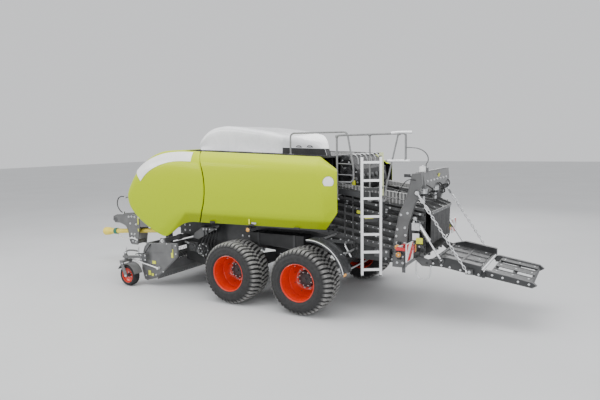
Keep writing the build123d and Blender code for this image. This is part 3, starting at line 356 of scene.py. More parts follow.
class Piece:
    def __init__(self, name):
        self.name = name
        self.bm = bmesh.new()
        self.mats = []
        self.cur = 0

    def mat(self, key):
        if key not in self.mats:
            self.mats.append(key)
        self.cur = self.mats.index(key)
        return self

    def poly(self, verts, faces):
        vs = [self.bm.verts.new(v) for v in verts]
        out = []
        for f in faces:
            if len(set(f)) < 3:
                continue
            try:
                nf = self.bm.faces.new([vs[i] for i in f])
            except ValueError:
                continue
            nf.material_index = self.cur
            out.append(nf)
        return vs, out

    def _bevel(self, faces, width, seg=2, angle=25):
        if width <= 0:
            return
        es = set()
        for f in faces:
            for e in f.edges:
                if len(e.link_faces) == 2 and e.calc_face_angle(0) > math.radians(angle):
                    es.add(e)
        if es:
            r = bmesh.ops.bevel(self.bm, geom=list(es), offset=width, offset_type="OFFSET", segments=seg, profile=.5, affect="EDGES", clamp_overlap=True)
            for f in r["faces"]:
                f.material_index = self.cur

    def box(self, c, size, x=None, y=None, bevel=.004, seg=2):
        """Box about c; x and y are the directions of its first two sides."""
        x = Vector(x).normalized() if x is not None else Vector((1, 0, 0))
        y = Vector(y).normalized() if y is not None else (Vector((0, 1, 0)) if abs(x.y) < .9 else Vector((-1, 0, 0)))
        z = x.cross(y).normalized()
        y = z.cross(x).normalized()
        c = Vector(c)
        hx, hy, hz = (s / 2 for s in size)
        vs = [c + x * (sx * hx) + y * (sy * hy) + z * (sz * hz) for sz in (-1, 1) for sy in (-1, 1) for sx in (-1, 1)]
        _, fs = self.poly(vs, ((0, 2, 3, 1), (4, 5, 7, 6), (0, 1, 5, 4), (2, 6, 7, 3), (0, 4, 6, 2), (1, 3, 7, 5)))
        self._bevel(fs, min(bevel, .45 * min(size)), seg)
        return self

    def prism(self, outline, vec, bevel=.003, seg=2):
        """Outline is a flat loop of points, pulled along vec."""
        pts = [Vector(p) for p in outline]
        vec = Vector(vec)
        n = len(pts)
        nrm = Vector((0, 0, 0))
        for i in range(n):
            nrm += (pts[i] - pts[0]).cross(pts[(i + 1) % n] - pts[0])
        if nrm.dot(vec) < 0:
            pts.reverse()
        allp = pts + [p + vec for p in pts]
        faces = [tuple(reversed(range(n))), tuple(range(n, 2 * n))]
        faces += [(i, (i + 1) % n, n + (i + 1) % n, n + i) for i in range(n)]
        _, fs = self.poly(allp, faces)
        self._bevel(fs, bevel, seg)
        return self

    def side(self, outline, y, thick, bevel=.003, seg=2):
        """Side profile in (station, height), of a plate centred on width y."""
        return self.prism([S(a, y - thick / 2, b) for a, b in outline], (0, thick, 0), bevel, seg)

    def lathe(self, origin, axis, profile, seg=48, close=False):
        """profile: (distance along the axis, radius)."""
        o, d = Vector(origin), Vector(axis).normalized()
        u, w = frame_of(d)
        rings = []
        vs = []
        for t, r in profile:
            ring = []
            if r < 1e-6:
                ring = [len(vs)] * seg
                vs.append(o + d * t)
            else:
                for k in range(seg):
                    a = 2 * math.pi * k / seg
                    ring.append(len(vs))
                    vs.append(o + d * t + (u * math.cos(a) + w * math.sin(a)) * r)
            rings.append(ring)
        faces = []
        pairs = list(zip(rings, rings[1:]))
        if close:
            pairs.append((rings[-1], rings[0]))
        for a, b in pairs:
            for k in range(seg):
                q = [a[k], a[(k + 1) % seg], b[(k + 1) % seg], b[k]]
                f = []
                for i in q:
                    if i not in f:
                        f.append(i)
                if len(f) > 2:
                    faces.append(tuple(f))
        self.poly(vs, faces)
        return self

    def cyl(self, a, b, r, seg=20, chamfer=.0015, r2=None):
        a, b = Vector(a), Vector(b)
        L = (b - a).length
        r2 = r if r2 is None else r2
        c = min(chamfer, r * .4, r2 * .4, L * .3)
        return self.lathe(a, b - a, ((0, 0), (0, r - c), (c, r), (L - c, r2), (L, r2 - c), (L, 0)), seg)

    def pipe(self, a, b, ro, ri, seg=24):
        L = (Vector(b) - Vector(a)).length
        c = min(.0015, (ro - ri) * .3)
        return self.lathe(a, Vector(b) - Vector(a), ((0, ri), (0, ro - c), (c, ro), (L - c, ro), (L, ro - c), (L, ri)), seg, close=True)

    def tube(self, pts, r, seg=10, smooth=True, caps=True, closed=False, steps=6):
        """Round tube along points; smooth threads a curve through them."""
        P = [Vector(p) for p in pts]
        if smooth and len(P) > 2:
            Q = []
            n = len(P)
            rng = range(n if closed else n - 1)
            for i in rng:
                p0 = P[i - 1] if (i > 0 or closed) else P[0] * 2 - P[1]
                p1, p2 = P[i], P[(i + 1) % n]
                p3 = P[(i + 2) % n] if (i + 2 < n or closed) else P[-1] * 2 - P[-2]
                for k in range(steps):
                    t = k / steps
                    Q.append(.5 * ((2 * p1) + (p2 - p0) * t + (2 * p0 - 5 * p1 + 4 * p2 - p3) * t * t + (3 * p1 - p0 - 3 * p2 + p3) * t ** 3))
            if not closed:
                Q.append(P[-1])
            P = Q
        n = len(P)
        tang = []
        for i in range(n):
            a = P[i - 1] if (i > 0 or closed) else P[i]
            b = P[(i + 1) % n] if (i < n - 1 or closed) else P[i]
            tang.append((b - a).normalized())
        u, w = frame_of(tang[0])
        vs = []
        for i in range(n):
            if i:
                q = tang[i - 1].rotation_difference(tang[i])
                u = q @ u
                u = (u - tang[i] * u.dot(tang[i])).normalized()
            w = tang[i].cross(u)
            rr = r(i / max(1, n - 1)) if callable(r) else r
            for k in range(seg):
                a = 2 * math.pi * k / seg
                vs.append(P[i] + (u * math.cos(a) + w * math.sin(a)) * rr)
        faces = []
        for i in range(n if closed else n - 1):
            j = (i + 1) % n
            for k in range(seg):
                faces.append((i * seg + k, i * seg + (k + 1) % seg, j * seg + (k + 1) % seg, j * seg + k))
        if caps and not closed:
            faces.append(tuple(reversed(range(seg))))
            faces.append(tuple(range((n - 1) * seg, n * seg)))
        self.poly(vs, faces)
        return self

    def bolt(self, p, d, r=.011, h=.008, washer=True, stud=False):
        p, d = Vector(p), Vector(d).normalized()
        if washer:
            self.lathe(p, d, ((0, r * 1.45), (.0022, r * 1.4), (.0022, 0)), 14)
            p = p + d * .0022
        u, w = frame_of(d)
        ring = lambda rr, t: [p + d * t + (u * math.cos(a) + w * math.sin(a)) * rr for a in [math.pi / 3 * k for k in range(6)]]
        vs = ring(r, 0) + ring(r, h * .8) + ring(r * .82, h) + [p + d * h]
        fs = []
        for a in (0, 6):
            fs += [(a + k, a + (k + 1) % 6, a + 6 + (k + 1) % 6, a + 6 + k) for k in range(6)]
        fs += [(12 + k, 12 + (k + 1) % 6, 18) for k in range(6)]
        self.poly(vs, fs)
        if stud:
            self.cyl(p + d * h * .9, p + d * (h * 1.7), r * .5, 8)
        return self

    def grid(self, rows, close=False):
        """Quads between rows of points."""
        n = len(rows[0])
        vs = [v for r in rows for v in r]
        fs = []
        for i in range(len(rows) - 1):
            for k in range(n if close else n - 1):
                fs.append((i * n + k, i * n + (k + 1) % n, (i + 1) * n + (k + 1) % n, (i + 1) * n + k))
        self.poly(vs, fs)
        return self

    def done(self, body, smooth=35, replaces=(), solidify=0.0, slot=None, weld=False, offset=-1.0, inside=None):
        bm = self.bm
        if weld:
            bmesh.ops.remove_doubles(bm, verts=bm.verts, dist=.0002)
        bmesh.ops.dissolve_degenerate(bm, edges=bm.edges, dist=1e-6)
        bmesh.ops.recalc_face_normals(bm, faces=bm.faces)
        lim = math.radians(smooth)
        for f in bm.faces:
            f.smooth = True
        for e in bm.edges:
            e.smooth = len(e.link_faces) != 2 or e.calc_face_angle(0) < lim
        me = bpy.data.meshes.new(self.name)
        bm.to_mesh(me)
        bm.free()
        for k in self.mats:
            me.materials.append(M[k])
        o = bpy.data.objects.new(self.name, me)
        bpy.context.scene.collection.objects.link(o)
        if solidify:
            md = o.modifiers.new("thickness", "SOLIDIFY")
            md.thickness = solidify
            md.offset = offset
            if inside:
                me.materials.append(M[inside])
                md.material_offset = len(me.materials) - 1
        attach(o, body)
        if replaces:
            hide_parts(*([replaces] if isinstance(replaces, str) else replaces))
        return o


def spline(points, n):
    """n+1 points on a smooth curve through the points."""
    P = [Vector(p) for p in points]
    d = [0.0]
    for a, b in zip(P, P[1:]):
        d.append(d[-1] + (b - a).length)
    out = []
    for k in range(n + 1):
        t = d[-1] * k / n
        i = max(j for j in range(len(P) - 1) if d[j] <= t + 1e-9)
        u = (t - d[i]) / (d[i + 1] - d[i])
        p1, p2 = P[i], P[i + 1]
        p0 = P[i - 1] if i else p1 * 2 - p2
        p3 = P[i + 2] if i + 2 < len(P) else p2 * 2 - p1
        out.append(.5 * ((2 * p1) + (p2 - p0) * u + (2 * p0 - 5 * p1 + 4 * p2 - p3) * u * u + (3 * p1 - p0 - 3 * p2 + p3) * u ** 3))
    return out


def lerp(a, b, t):
    return a + (b - a) * t


# ------------------------------------------------------- CAD nodes' finish
finish_of = {
    "main_frame": "chassis", "bogie_beams": "chassis", "front_axle": "chassis", "rear_axle": "chassis",
    "knuckle_left": "cast", "knuckle_right": "cast", "tie_rod": "zinc", "drawbar": "arm", "tow_eye": "cast",
    "jack_tube": "chassis", "jack_leg": "zinc", "channel_floor": "channel", "channel_walls": "channel", "channel_roof": "channel",
    "top_flap": "channel", "tension_arms": "arm", "tension_beam": "arm", "tension_cylinders": "zinc", "tension_rods": "zinc",
    "knotter_housing": "dark", "body_roof": "dark", "twine_boxes": "dark", "drive_block": "cast", "feeder_housing": "chassis",
    "pickup_frame": "shield", "pickup_reel": "chassis", "crop_roller": "arm", "gauge_fork_left": "arm", "gauge_fork_right": "arm",
    "gauge_wheel_left": "tyre", "gauge_wheel_right": "tyre", "chute_main": "chassis", "chute_rear": "chassis", "chains": "zinc",
    "chute_barrels": "zinc", "chute_rods": "zinc", "handrails": "rail", "ladder": "alu", "ladder_mount": "chassis",
    "fenders": "chassis", "warning_boards": "board", "side_bow": "zinc", "top_cover": "white", "front_hood": "lime",
    "panel_left": "lime", "panel_right": "lime", "pto_guard": "yellow", "pto_shaft": "zinc",
    "front_hose": "hose", "rail_cable": "rail", "beam_cable": "hose", "mouth_curtain": "curtain",
}
for name, o in NODES.items():
    key = finish_of.get(name, "chassis")
    if name.startswith("rim_"):
        key = "red"
    if name.startswith("tyre_"):
        key = "tyre"
    o.data.materials.clear()
    o.data.materials.append(M[key])

# ------------------------------------------------------------ green panels
# outer shoulder of the panels: drop inwards as a function of the distance from the top edge
def shoulder(w, depth=.164, reach=.33):
    return depth * max(0.0, 1 - w / reach) ** 3.3 if w < reach else 0.0


def seam_x(z):
    """Curved joint between hood and panels, in side view."""
    r, cx, cz = 1.066, 2.936, 1.8975
    return cx - math.sqrt(max(0.0, r * r - (z - cz) ** 2))


def side_y(z, zb, zt):
    """Outer width of the panel at height z."""
    y = 1.300 - shoulder(zt - z)
    mid = (z - (zb + .20)) / max(.1, (zt - .33) - (zb + .20))
    y += .010 * math.sin(math.pi * min(1, max(0, mid)))
    if z < zb + .21:
        y -= .075 * ((zb + .21 - z) / .21) ** 1.15
    return y


def roof_edge(x):
    return 2.412 + (2.505 - 2.412) * (x + .38) / (1.96 + .38)


def low_edge(x):
    return 1.325 + (1.290 - 1.325) * (x + .38) / (1.96 + .38)


vees = [0, .03, .07, .11, .15, .19, .215, .25, .32, .42, .52, .62, .70, .75, .80, .84, .875, .905, .93, .95, .968, .982, .992, 1.0]


def panel(side, s):
    p = Piece("side_panel_" + side).mat("lime")
    rows = []
    xs = [0, .004, .02, .06, .12, .2, .3, .4, .5, .6, .7, .8, .88, .94, .97, .985, .995, 1.0]
    for k in xs:
        row = []
        for v in vees:
            x_guess = lerp(2.0, -.38, k)
            zb, zt = low_edge(x_guess), roof_edge(x_guess)
            z = lerp(zb, zt, v)
            x = lerp(seam_x(z) - .006, -.38 + .145 * max(0.0, (v - .45) / .55) ** 1.3, k)
            y = side_y(z, zb, zt)
            if k < .004:
                y -= .012
            if k > .98:
                y -= .010 * (k - .98) / .02
            row.append((x, y, z))
        # short flat over the roof, then a return lip
        x, y, z = row[-1]
        row += [(x, y - .028, z + .003), (x, y - .055, z + .001)]
        x, y, z = row[0]
        row = [(x, y - .045, z + .012), (x, y - .022, z + .001)] + row
        rows.append(row)
    # rear facet
    last = rows[-1]
    for t in (.03, .12, .35, .65, .9, .975, 1.0):
        row = []
        for (x, y, z) in last:
            zz = lerp(1.585, 2.225, (z - 1.325) / (2.415 - 1.325))
            yy = min(1.19, y)
            x_end = -.560 + .48 * (1.19 - yy)
            e = t - .004 * (t > .97)
            row.append((lerp(x, min(x_end, x - .01), e), lerp(y, yy, t), lerp(z, zz, t)))
        rows.append(row)
    p.grid([[S(x, s * y, z) for x, y, z in r] for r in rows])
    return p.done("%s_door" % side, smooth=28, replaces="panel_" + side, solidify=.006, slot="green_panel", offset=-1, inside="dark")


for side, s in (("left", 1), ("right", -1)):
    panel(side, s)
    # rubber seal under the joint with the hood
    e = Piece("door_seal_" + side).mat("hose")
    rows = []
    for k in range(33):
        z = lerp(1.310, 2.478, k / 32)
        y = side_y(z, low_edge(2.0), roof_edge(2.0)) - .020
        rows.append([S(seam_x(z) + a, s * (y + b), z) for a, b in ((-.030, 0), (.026, 0), (.026, -.010), (-.030, -.010))])
    e.grid(rows, close=True)
    e.poly(rows[0], [(0, 1, 2, 3)])
    e.poly(rows[-1], [(3, 2, 1, 0)])
    e.done("%s_door" % side, smooth=40)

# hood: outline in (station, height) from the top rear corner over the nose to the low tip
hood_top = [(2.055, 2.508), (2.25, 2.521), (2.46, 2.531), (2.70, 2.530), (2.92, 2.510), (3.11, 2.462), (3.285, 2.378), (3.455, 2.250),
            (3.600, 2.09), (3.718, 1.915), (3.786, 1.775), (3.796, 1.690), (3.760, 1.555), (3.665, 1.43), (3.49, 1.285), (3.25, 1.145),
            (3.04, 1.048), (2.95, 1.006), (2.875, .998)]
hood_low = [(2.055, 1.290), (2.16, 1.290), (2.27, 1.281), (2.37, 1.255), (2.46, 1.215), (2.55, 1.155), (2.65, 1.085), (2.745, 1.030), (2.82, 1.002), (2.875, .998)]
HN = 72
top_path = spline([(a, 0, b) for a, b in hood_top], HN)
low_path = spline([(a, 0, b) for a, b in hood_low], HN)


def hood_surface(y_scale=1.0):
    rows = []
    for k in range(HN + 1):
        u = k / HN
        T, L = top_path[k], low_path[min(HN, int(round(HN * u)))]
        a = top_path[max(0, k - 1)]
        b = top_path[min(HN, k + 1)]
        tan = (b - a).normalized()
        chord = (T - L).length
        # blend of the chords so that the grid stays even near the tip
        row = []
        for v in [1 - q for q in reversed([1 - w for w in vees])]:
            p = lerp(L, T, v)
            bow = (seam_x(p.z) + .006 - 2.055) * (1 - u) ** 2.2
            x, z = p.x + bow, p.z
            w_top = (1 - v) * chord
            w_low = v * chord
            f = min(1.0, max(0.0, (u - .30) / .22))
            y = 1.300 - shoulder(w_top * min(1.0, .75 + .25 * u) if u < .9 else w_top, lerp(.164, .070, f), lerp(.33, .17, f))
            midv = math.sin(math.pi * v)
            y += .010 * midv * min(1, chord / .8)
            if w_low < .21:
                y -= lerp(.075, .035, u) * ((.21 - w_low) / .21) ** 1.15 * min(1, chord / .35)
            row.append(Vector((x, y, z)))
        # the row now runs from the low edge to the top edge
        row.reverse()
        # over the top: a crowned strip to the middle
        t = row[-1]
        nrm = Vector((-tan.z, 0, tan.x)) if tan.x >= 0 else Vector((-tan.z, 0, tan.x))
        for f in (.985, .95, .88, .75, .55, .3, 0.0):
            crown = .012 * (1 - f * f)
            row.append(Vector((t.x, t.y * f, t.z)) + nrm * crown)
        # lip along the low edge
        f = row[0]
        row = [f + Vector((-.0, -.040, .014)), f + Vector((0, -.018, .002))] + row
        rows.append(row)
    return rows


hood = Piece("hood_shell").mat("lime")
hs = hood_surface()
full = []
for r in hs:
    left = [S(v.x, v.y, v.z) for v in r]
    rightp = [S(v.x, -v.y, v.z) for v in reversed(r[:-1])]
    full.append(left + rightp)
# the fixed roof lies behind the hood's hinge, so the shell has no top there
n_side = len(hs[0]) - 7
cut = next(i for i, t in enumerate(top_path) if t.x > 2.43)
# under the nose the shell is open for the drawbar, so only its sides go on
low_cut = next(i for i, t in enumerate(top_path) if i > cut and t.z < 1.545)
m_all = len(full[0])
hood.grid(full[cut:low_cut + 1])
for part_rows in (full[:cut + 1], full[low_cut:]):
    hood.grid([r[:n_side + 1] for r in part_rows])
    hood.grid([r[m_all - n_side - 1:] for r in part_rows])
hood.done("hood", smooth=32, replaces="front_hood", solidify=.006, slot="green_panel", weld=True, inside="dark")

# blank white band on both sides of the hood, a thin film on the shell
def hood_point(x, z, s, lift=.0025):
    """Point of the shell's side at a station and height."""
    best, u = None, 0
    for k in range(HN):
        a, b = top_path[k], top_path[k + 1]
        d = b - a
        t = max(0, min(1, ((x - a.x) * d.x + (z - a.z) * d.z) / max(1e-9, d.x ** 2 + d.z ** 2)))
        q = a + d * t
        dist = math.hypot(x - q.x, z - q.z)
        if best is None or dist < best:
            best, u = dist, (k + t) / HN
    f = min(1.0, max(0.0, (u - .30) / .22))
    y = 1.300 - shoulder(best * min(1.0, .75 + .25 * u) if u < .9 else best, lerp(.164, .070, f), lerp(.33, .17, f)) + .008
    return S(x, s * (y + lift), z)


band_hi = spline([(2.193, 0, 2.497), (2.45, 0, 2.508), (2.70, 0, 2.499), (2.90, 0, 2.470), (3.10, 0, 2.412), (3.29, 0, 2.325), (3.41, 0, 2.245), (3.495, 0, 2.170)], 32)
band_lo = spline([(2.167, 0, 2.342), (2.40, 0, 2.348), (2.60, 0, 2.338), (2.78, 0, 2.305), (2.96, 0, 2.250), (3.12, 0, 2.175), (3.25, 0, 2.085), (3.357, 0, 1.980)], 32)
for side, s in (("left", 1), ("right", -1)):
    b = Piece("hood_band_" + side).mat("white_mark")
    rows = []
    for hi, lo in zip(band_hi, band_lo):
        rows.append([hood_point(lerp(lo.x, hi.x, t), lerp(lo.z, hi.z, t), s) for t in [j / 10 for j in range(11)]])
    b.grid(rows)
    b.done("hood", smooth=60)

#--DETAIL--

# ----------------------------------------------------------- running wheels
def tread_r(y):
    """Outer radius of the tread at distance y from the tyre's middle."""
    return .5150 - .0065 * (abs(y) / .205) ** 2 if abs(y) < .205 else .5085 - (abs(y) - .205) * .62


def wheel(tag, node_tag, body, x, s):
    c = S(x, s * 1.210, .515)
    # tyre carcass, t runs outwards
    t = Piece("tyre_" + tag).mat("tyre")
    half = [(.0, .4905), (.06, .490), (.12, .4885), (.18, .485), (.215, .478), (.236, .466), (.250, .448), (.262, .428), (.2690, .405), (.2725, .385),
            (.2735, .365), (.2700, .345), (.2715, .341), (.2715, .334), (.2665, .328), (.2590, .312), (.2530, .303), (.2545, .2985), (.2480, .2945), (.2380, .2880), (.2000, .2870)]
    prof = [(-a, r) for a, r in reversed(half[1:])] + half
    inner = [(.2000, .2870), (.222, .330), (.236, .400), (.214, .455), (.0, .470), (-.214, .455), (-.236, .400), (-.222, .330), (-.2000, .2870)]
    t.lathe(c, (0, s, 0), prof + inner[1:-1], seg=128, close=True)
    n = 42
    step = 2 * math.pi / n

    def lug(ys, centre_angles, half_angles, drops, depth=.021):
        """A raised block: widths, middle angle, half angle and drop of the top at each width."""
        rows = []
        for y, ca, ha, dr in zip(ys, centre_angles, half_angles, drops):
            rt = tread_r(y) - dr
            rb = tread_r(y) - .027 - dr * .4
            ring = []
            for da, rr in ((-ha * 1.16, rb), (-ha, rt - .002), (-ha * .9, rt), (0, rt + .0003), (ha * .9, rt), (ha, rt - .002), (ha * 1.16, rb)):
                a = ca + da
                ring.append(c + Vector((math.cos(a) * rr, s * y, math.sin(a) * rr)))
            rows.append(ring)
        nn = len(rows[0])
        vs = [v for r in rows for v in r]
        fs = []
        for i in range(len(rows) - 1):
            for k in range(nn - 1):
                fs.append((i * nn + k, i * nn + k + 1, (i + 1) * nn + k + 1, (i + 1) * nn + k))
        fs.append(tuple(range(nn)))
        fs.append(tuple(reversed(range((len(rows) - 1) * nn, len(rows) * nn))))
        t.poly(vs, fs)

    for k in range(n):
        a0 = k * step
        for q in (1, -1):
            off = a0 + (step * .5 if q < 0 else 0)
            # long shoulder bar that bends round onto the side wall
            ys = [q * v for v in (.088, .120, .160, .200, .228, .248, .262)]
            ang = [off + v * step for v in (.16, .10, -.02, -.10, -.13, -.14, -.14)]
            hw = [step * v for v in (.22, .25, .27, .29, .30, .30, .28)]
            lug(ys, ang, hw, (0, 0, 0, 0, .002, .010, .024))
            # stepped middle block
            ys = [q * v for v in (.006, .034, .066)]
            ang = [off + v * step for v in (.48, .42, .36)]
            lug(ys, ang, [step * v for v in (.22, .23, .20)], (0, 0, 0))
    # fine ribs on both side walls
    for q in (1, -1):
        for rr, yy in ((.372, .2745), (.392, .2735), (.318, .2635)):
            t.lathe(c, (0, s, 0), [(q * (yy - .004), rr - .003), (q * yy, rr - .001), (q * yy, rr + .001), (q * (yy - .004), rr + .003)], seg=96)
    o = t.done(body, smooth=38, replaces="tyre_" + node_tag, slot="tyre")
    me = o.data
    at = me.color_attributes.new("wear", "FLOAT_COLOR", "POINT")
    for v in me.vertices:
        r = math.hypot(v.co.x - c.x, v.co.z - c.z)
        y = abs(v.co.y - c.y)
        lim = tread_r(min(.25, y)) - .004
        w = 1.0 if (r > lim - .0005 and y < .25) else (.35 if (r > .46 and y > .245) else .04)
        at.data[v.index].color = (w, w, w, 1)

    # rim: barrel with both flanges, dished disc
    r = Piece("rim_" + tag).mat("red")
    barrel = [(-.253, .2965), (-.247, .2983), (-.2405, .2930), (-.238, .2868), (-.199, .2868), (-.150, .2760), (-.110, .2705), (.110, .2705), (.150, .2760),
              (.199, .2868), (.238, .2868), (.2405, .2930), (.247, .2983), (.252, .2975), (.2545, .2925), (.2530, .2860), (.2460, .2805), (.2300, .2780), (.196, .2775),
              (.188, .2745), (.160, .2700), (.120, .2625), (-.120, .2625), (-.190, .2760), (-.246, .2790), (-.2530, .2860)]
    r.lathe(c, (0, s, 0), barrel, seg=96, close=True)
    disc = [(-.1010, .062), (-.1010, .150), (-.0990, .176), (-.0900, .198), (-.0560, .222), (-.0180, .243), (.0100, .2550), (.0220, .2618), (.0300, .2622), (.0300, .2570),
            (.0140, .2480), (-.0080, .2380), (-.0460, .2160), (-.0760, .1940), (-.0850, .1810), (-.0870, .1640), (-.0870, .062)]
    r.lathe(c, (0, s, 0), disc, seg=96, close=True)
    r.lathe(c, (0, s, 0), [(.0300, .2570), (.0335, .2600), (.0330, .2640), (.0300, .2640)], seg=96)
    for k in range(8):
        a = 2 * math.pi * (k + .5) / 8
        d = Vector((math.cos(a), 0, math.sin(a)))
        # pressed hand holes' rims on the cone of the disc
        p0 = c + d * .2215 + Vector((0, s * -.0400, 0))
        nrm = (Vector((0, s * .82, 0)) - d * .57).normalized()
        r.lathe(p0, nrm, [(0, .0185), (.0030, .0180), (.0040, .0150), (.0016, .0125)], seg=18)
    # painted shade: near-black discs close the hand holes, where the view would fall into shadow
    r.mat("dark")
    for k in range(8):
        a = 2 * math.pi * (k + .5) / 8
        d = Vector((math.cos(a), 0, math.sin(a)))
        p0 = c + d * .2215 + Vector((0, s * -.0400, 0))
        nrm = (Vector((0, s * .82, 0)) - d * .57).normalized()
        r.lathe(p0 + nrm * .0012, nrm, [(0, .0126), (.0004, .0)], seg=18)
    # valve
    r.mat("zinc")
    d = Vector((math.cos(1.1), 0, math.sin(1.1)))
    r.tube([c + d * .262 + Vector((0, s * .06, 0)), c + d * .252 + Vector((0, s * .075, 0)), c + d * .246 + Vector((0, s * .11, 0))], .0055, 8)
    r.done(body, smooth=30, replaces="rim_" + node_tag, slot="rim")

    h = Piece("hub_" + tag).mat("hub")
    h.lathe(c, (0, s, 0), [(-.178, .052), (-.178, .118), (-.172, .132), (-.150, .139), (-.104, .139), (-.100, .128), (-.086, .128), (-.084, .138), (-.062, .1375), (-.056, .1330), (-.040, .1300),
                           (-.034, .1210), (-.026, .1180), (-.024, .1010), (-.017, .0970), (-.0125, .088), (-.012, .050), (-.0155, .044), (-.0155, .0)], seg=56)
    h.mat("zinc")
    for k in range(10):
        a = 2 * math.pi * k / 10
        d = Vector((math.cos(a), 0, math.sin(a)))
        h.bolt(c + d * .1560 + Vector((0, -s * .0868, 0)), (0, s, 0), r=.0150, h=.022, stud=True)
    for k in range(8):
        a = 2 * math.pi * (k + .5) / 8
        d = Vector((math.cos(a), 0, math.sin(a)))
        h.bolt(c + d * .1090 + Vector((0, -s * .0256, 0)), (0, s, 0), r=.0075, h=.007)
    h.mat("hub")
    h.cyl(c + Vector((0, -s * .0155, 0)), c + Vector((0, -s * .006, 0)), .020, 20)
    h.done(body, smooth=30)


wheel("front_left", "front_left", "wheel_fl", 1.305, 1)
wheel("front_right", "front_right", "wheel_fr", 1.305, -1)
wheel("rear_left", "rear_left", "wheel_rl", 0.0, 1)
wheel("rear_right", "rear_right", "wheel_rr", 0.0, -1)

# ------------------------------------------------- white cover on the roof
cover_top = spline([(a, 0, b) for a, b in ((2.330, 2.535), (2.366, 2.600), (2.362, 2.660), (2.330, 2.725), (2.255, 2.800), (2.165, 2.862), (2.06, 2.905), (1.90, 2.932), (1.74, 2.938), (1.46, 2.912), (1.15, 2.868),
                                           (.85, 2.820), (.60, 2.752), (.432, 2.692), (.334, 2.638), (.262, 2.56), (.186, 2.452))], 72)


def roof_h(x):
    return 2.415 + .115 * (x + .36) / 2.78


def cover_half(x):
    """Half width of the cover in plan."""
    for (a, wa), (b, wb) in zip(((2.4, .81), (.70, .81), (.640, .795), (.56, .700), (.44, .520), (.33, .340), (.24, .170)), ((.70, .81), (.640, .795), (.56, .700), (.44, .520), (.33, .340), (.24, .170), (.185, .035))):
        if x >= b:
            return wb + (wa - wb) * (x - b) / (a - b)
    return .035


cv = Piece("top_cover_shell").mat("white")
rows = []
for k, t in enumerate(cover_top):
    base = Vector((min(2.325, max(.190, t.x)), 0, 0))
    base.z = roof_h(base.x) + .004
    inward = base - t
    L = inward.length
    R0 = min(.085, max(.015, L * .42))
    inward = inward.normalized() if L > 1e-6 else Vector((0, 0, -1))
    row = []
    w_top = cover_half(t.x) if t.x < 2.3 else .81
    for f in (0, .25, .5, .7, .82, .9):
        row.append(Vector((t.x, f * w_top * .88, t.z)) + inward * (.004 * f * f))
    for j in range(7):
        an = math.pi / 2 * j / 6
        q = t + inward * (R0 * (1 - math.cos(an)))
        w = cover_half(q.x) if q.x < 2.3 else .81
        row.append(q + Vector((0, max(.01, w - R0 * (1 - math.sin(an))), 0)))
    low = t + inward * R0
    for f in (.25, .5, .75, .97, 1.0):
        p = lerp(low, base, f)
        w = cover_half(p.x) if p.x < 2.3 else .81
        row.append(Vector((p.x, w - .006 * math.sin(math.pi * f) + (.004 if f >= .97 else 0), p.z)))
    rows.append(row)
full_rows = []
for r in rows:
    full_rows.append([S(v.x, v.y, v.z) for v in reversed(r)] + [S(v.x, -v.y, v.z) for v in r[1:]])
cv.grid(full_rows)
cv.done("chassis", smooth=34, replaces="top_cover", solidify=.012, slot="white_cover", weld=True)

# dark vents on the roof beside the tail of the cover
tr = Piece("roof_vents").mat("dark")
for s in (1,):
    tr.prism([S(a, s * .640, b) for a, b in ((.482, 2.450), (.482, 2.552), (-.164, 2.528), (-.201, 2.424))], (0, s * .168, 0), .006)
    tr.prism([S(a, s * .770, b) for a, b in ((.605, 2.456), (.605, 2.556), (.470, 2.551), (.470, 2.450))], (0, s * .038, 0), .004)
    for k in range(4):
        z = 2.475 + k * .018
        tr.box(S(.20 - .004 * k, s * .8105, z), (.70, .004, .006), x=(1, 0, .037), bevel=.001)
    # painted shade: this grey tube along the top of the vents stands for the shaded concave side of the white cover
    tr.mat("white_grey")
    tr.tube([S(.600, s * .800, 2.462), S(.604, s * .800, 2.556), S(.20, s * .800, 2.545), S(-.160, s * .800, 2.531), S(-.198, s * .800, 2.428)], .007, 8, smooth=False)
    tr.mat("dark")
for x in (.30, .10):
    tr.box(S(x, .790, 2.560), (.07, .02, .016), bevel=.004)
    tr.tube([S(x - .05, .790, 2.552), S(x - .02, .794, 2.578), S(x + .03, .794, 2.583), S(x + .06, .790, 2.556)], .006, 8)
tr.done("chassis", smooth=35)

# edge trim between roof and panels, with folded sheet lines on the roof
rf = Piece("roof_detail").mat("dark")
for s in (1, -1):
    pts = [S(x, s * 1.052, roof_h(x) + .004) for x in (-.34, .4, 1.2, 2.0, 2.38)]
    rf.tube(pts, .006, 8)
    for x in (-.10, .45, 1.0, 1.55, 2.1):
        rf.box(S(x, s * .935, roof_h(x) + .003), (.30, .17, .006), x=(1, 0, .0414), bevel=.002)
        for dx in (-.12, .12):
            rf.bolt(S(x + dx, s * .99, roof_h(x + dx) + .006), (-.04, 0, 1), r=.008, h=.005)
rf.tube([S(-.352, y, 2.418) for y in (-1.05, -.5, .0, .5, 1.05)], .007, 8)
rf.done("chassis")

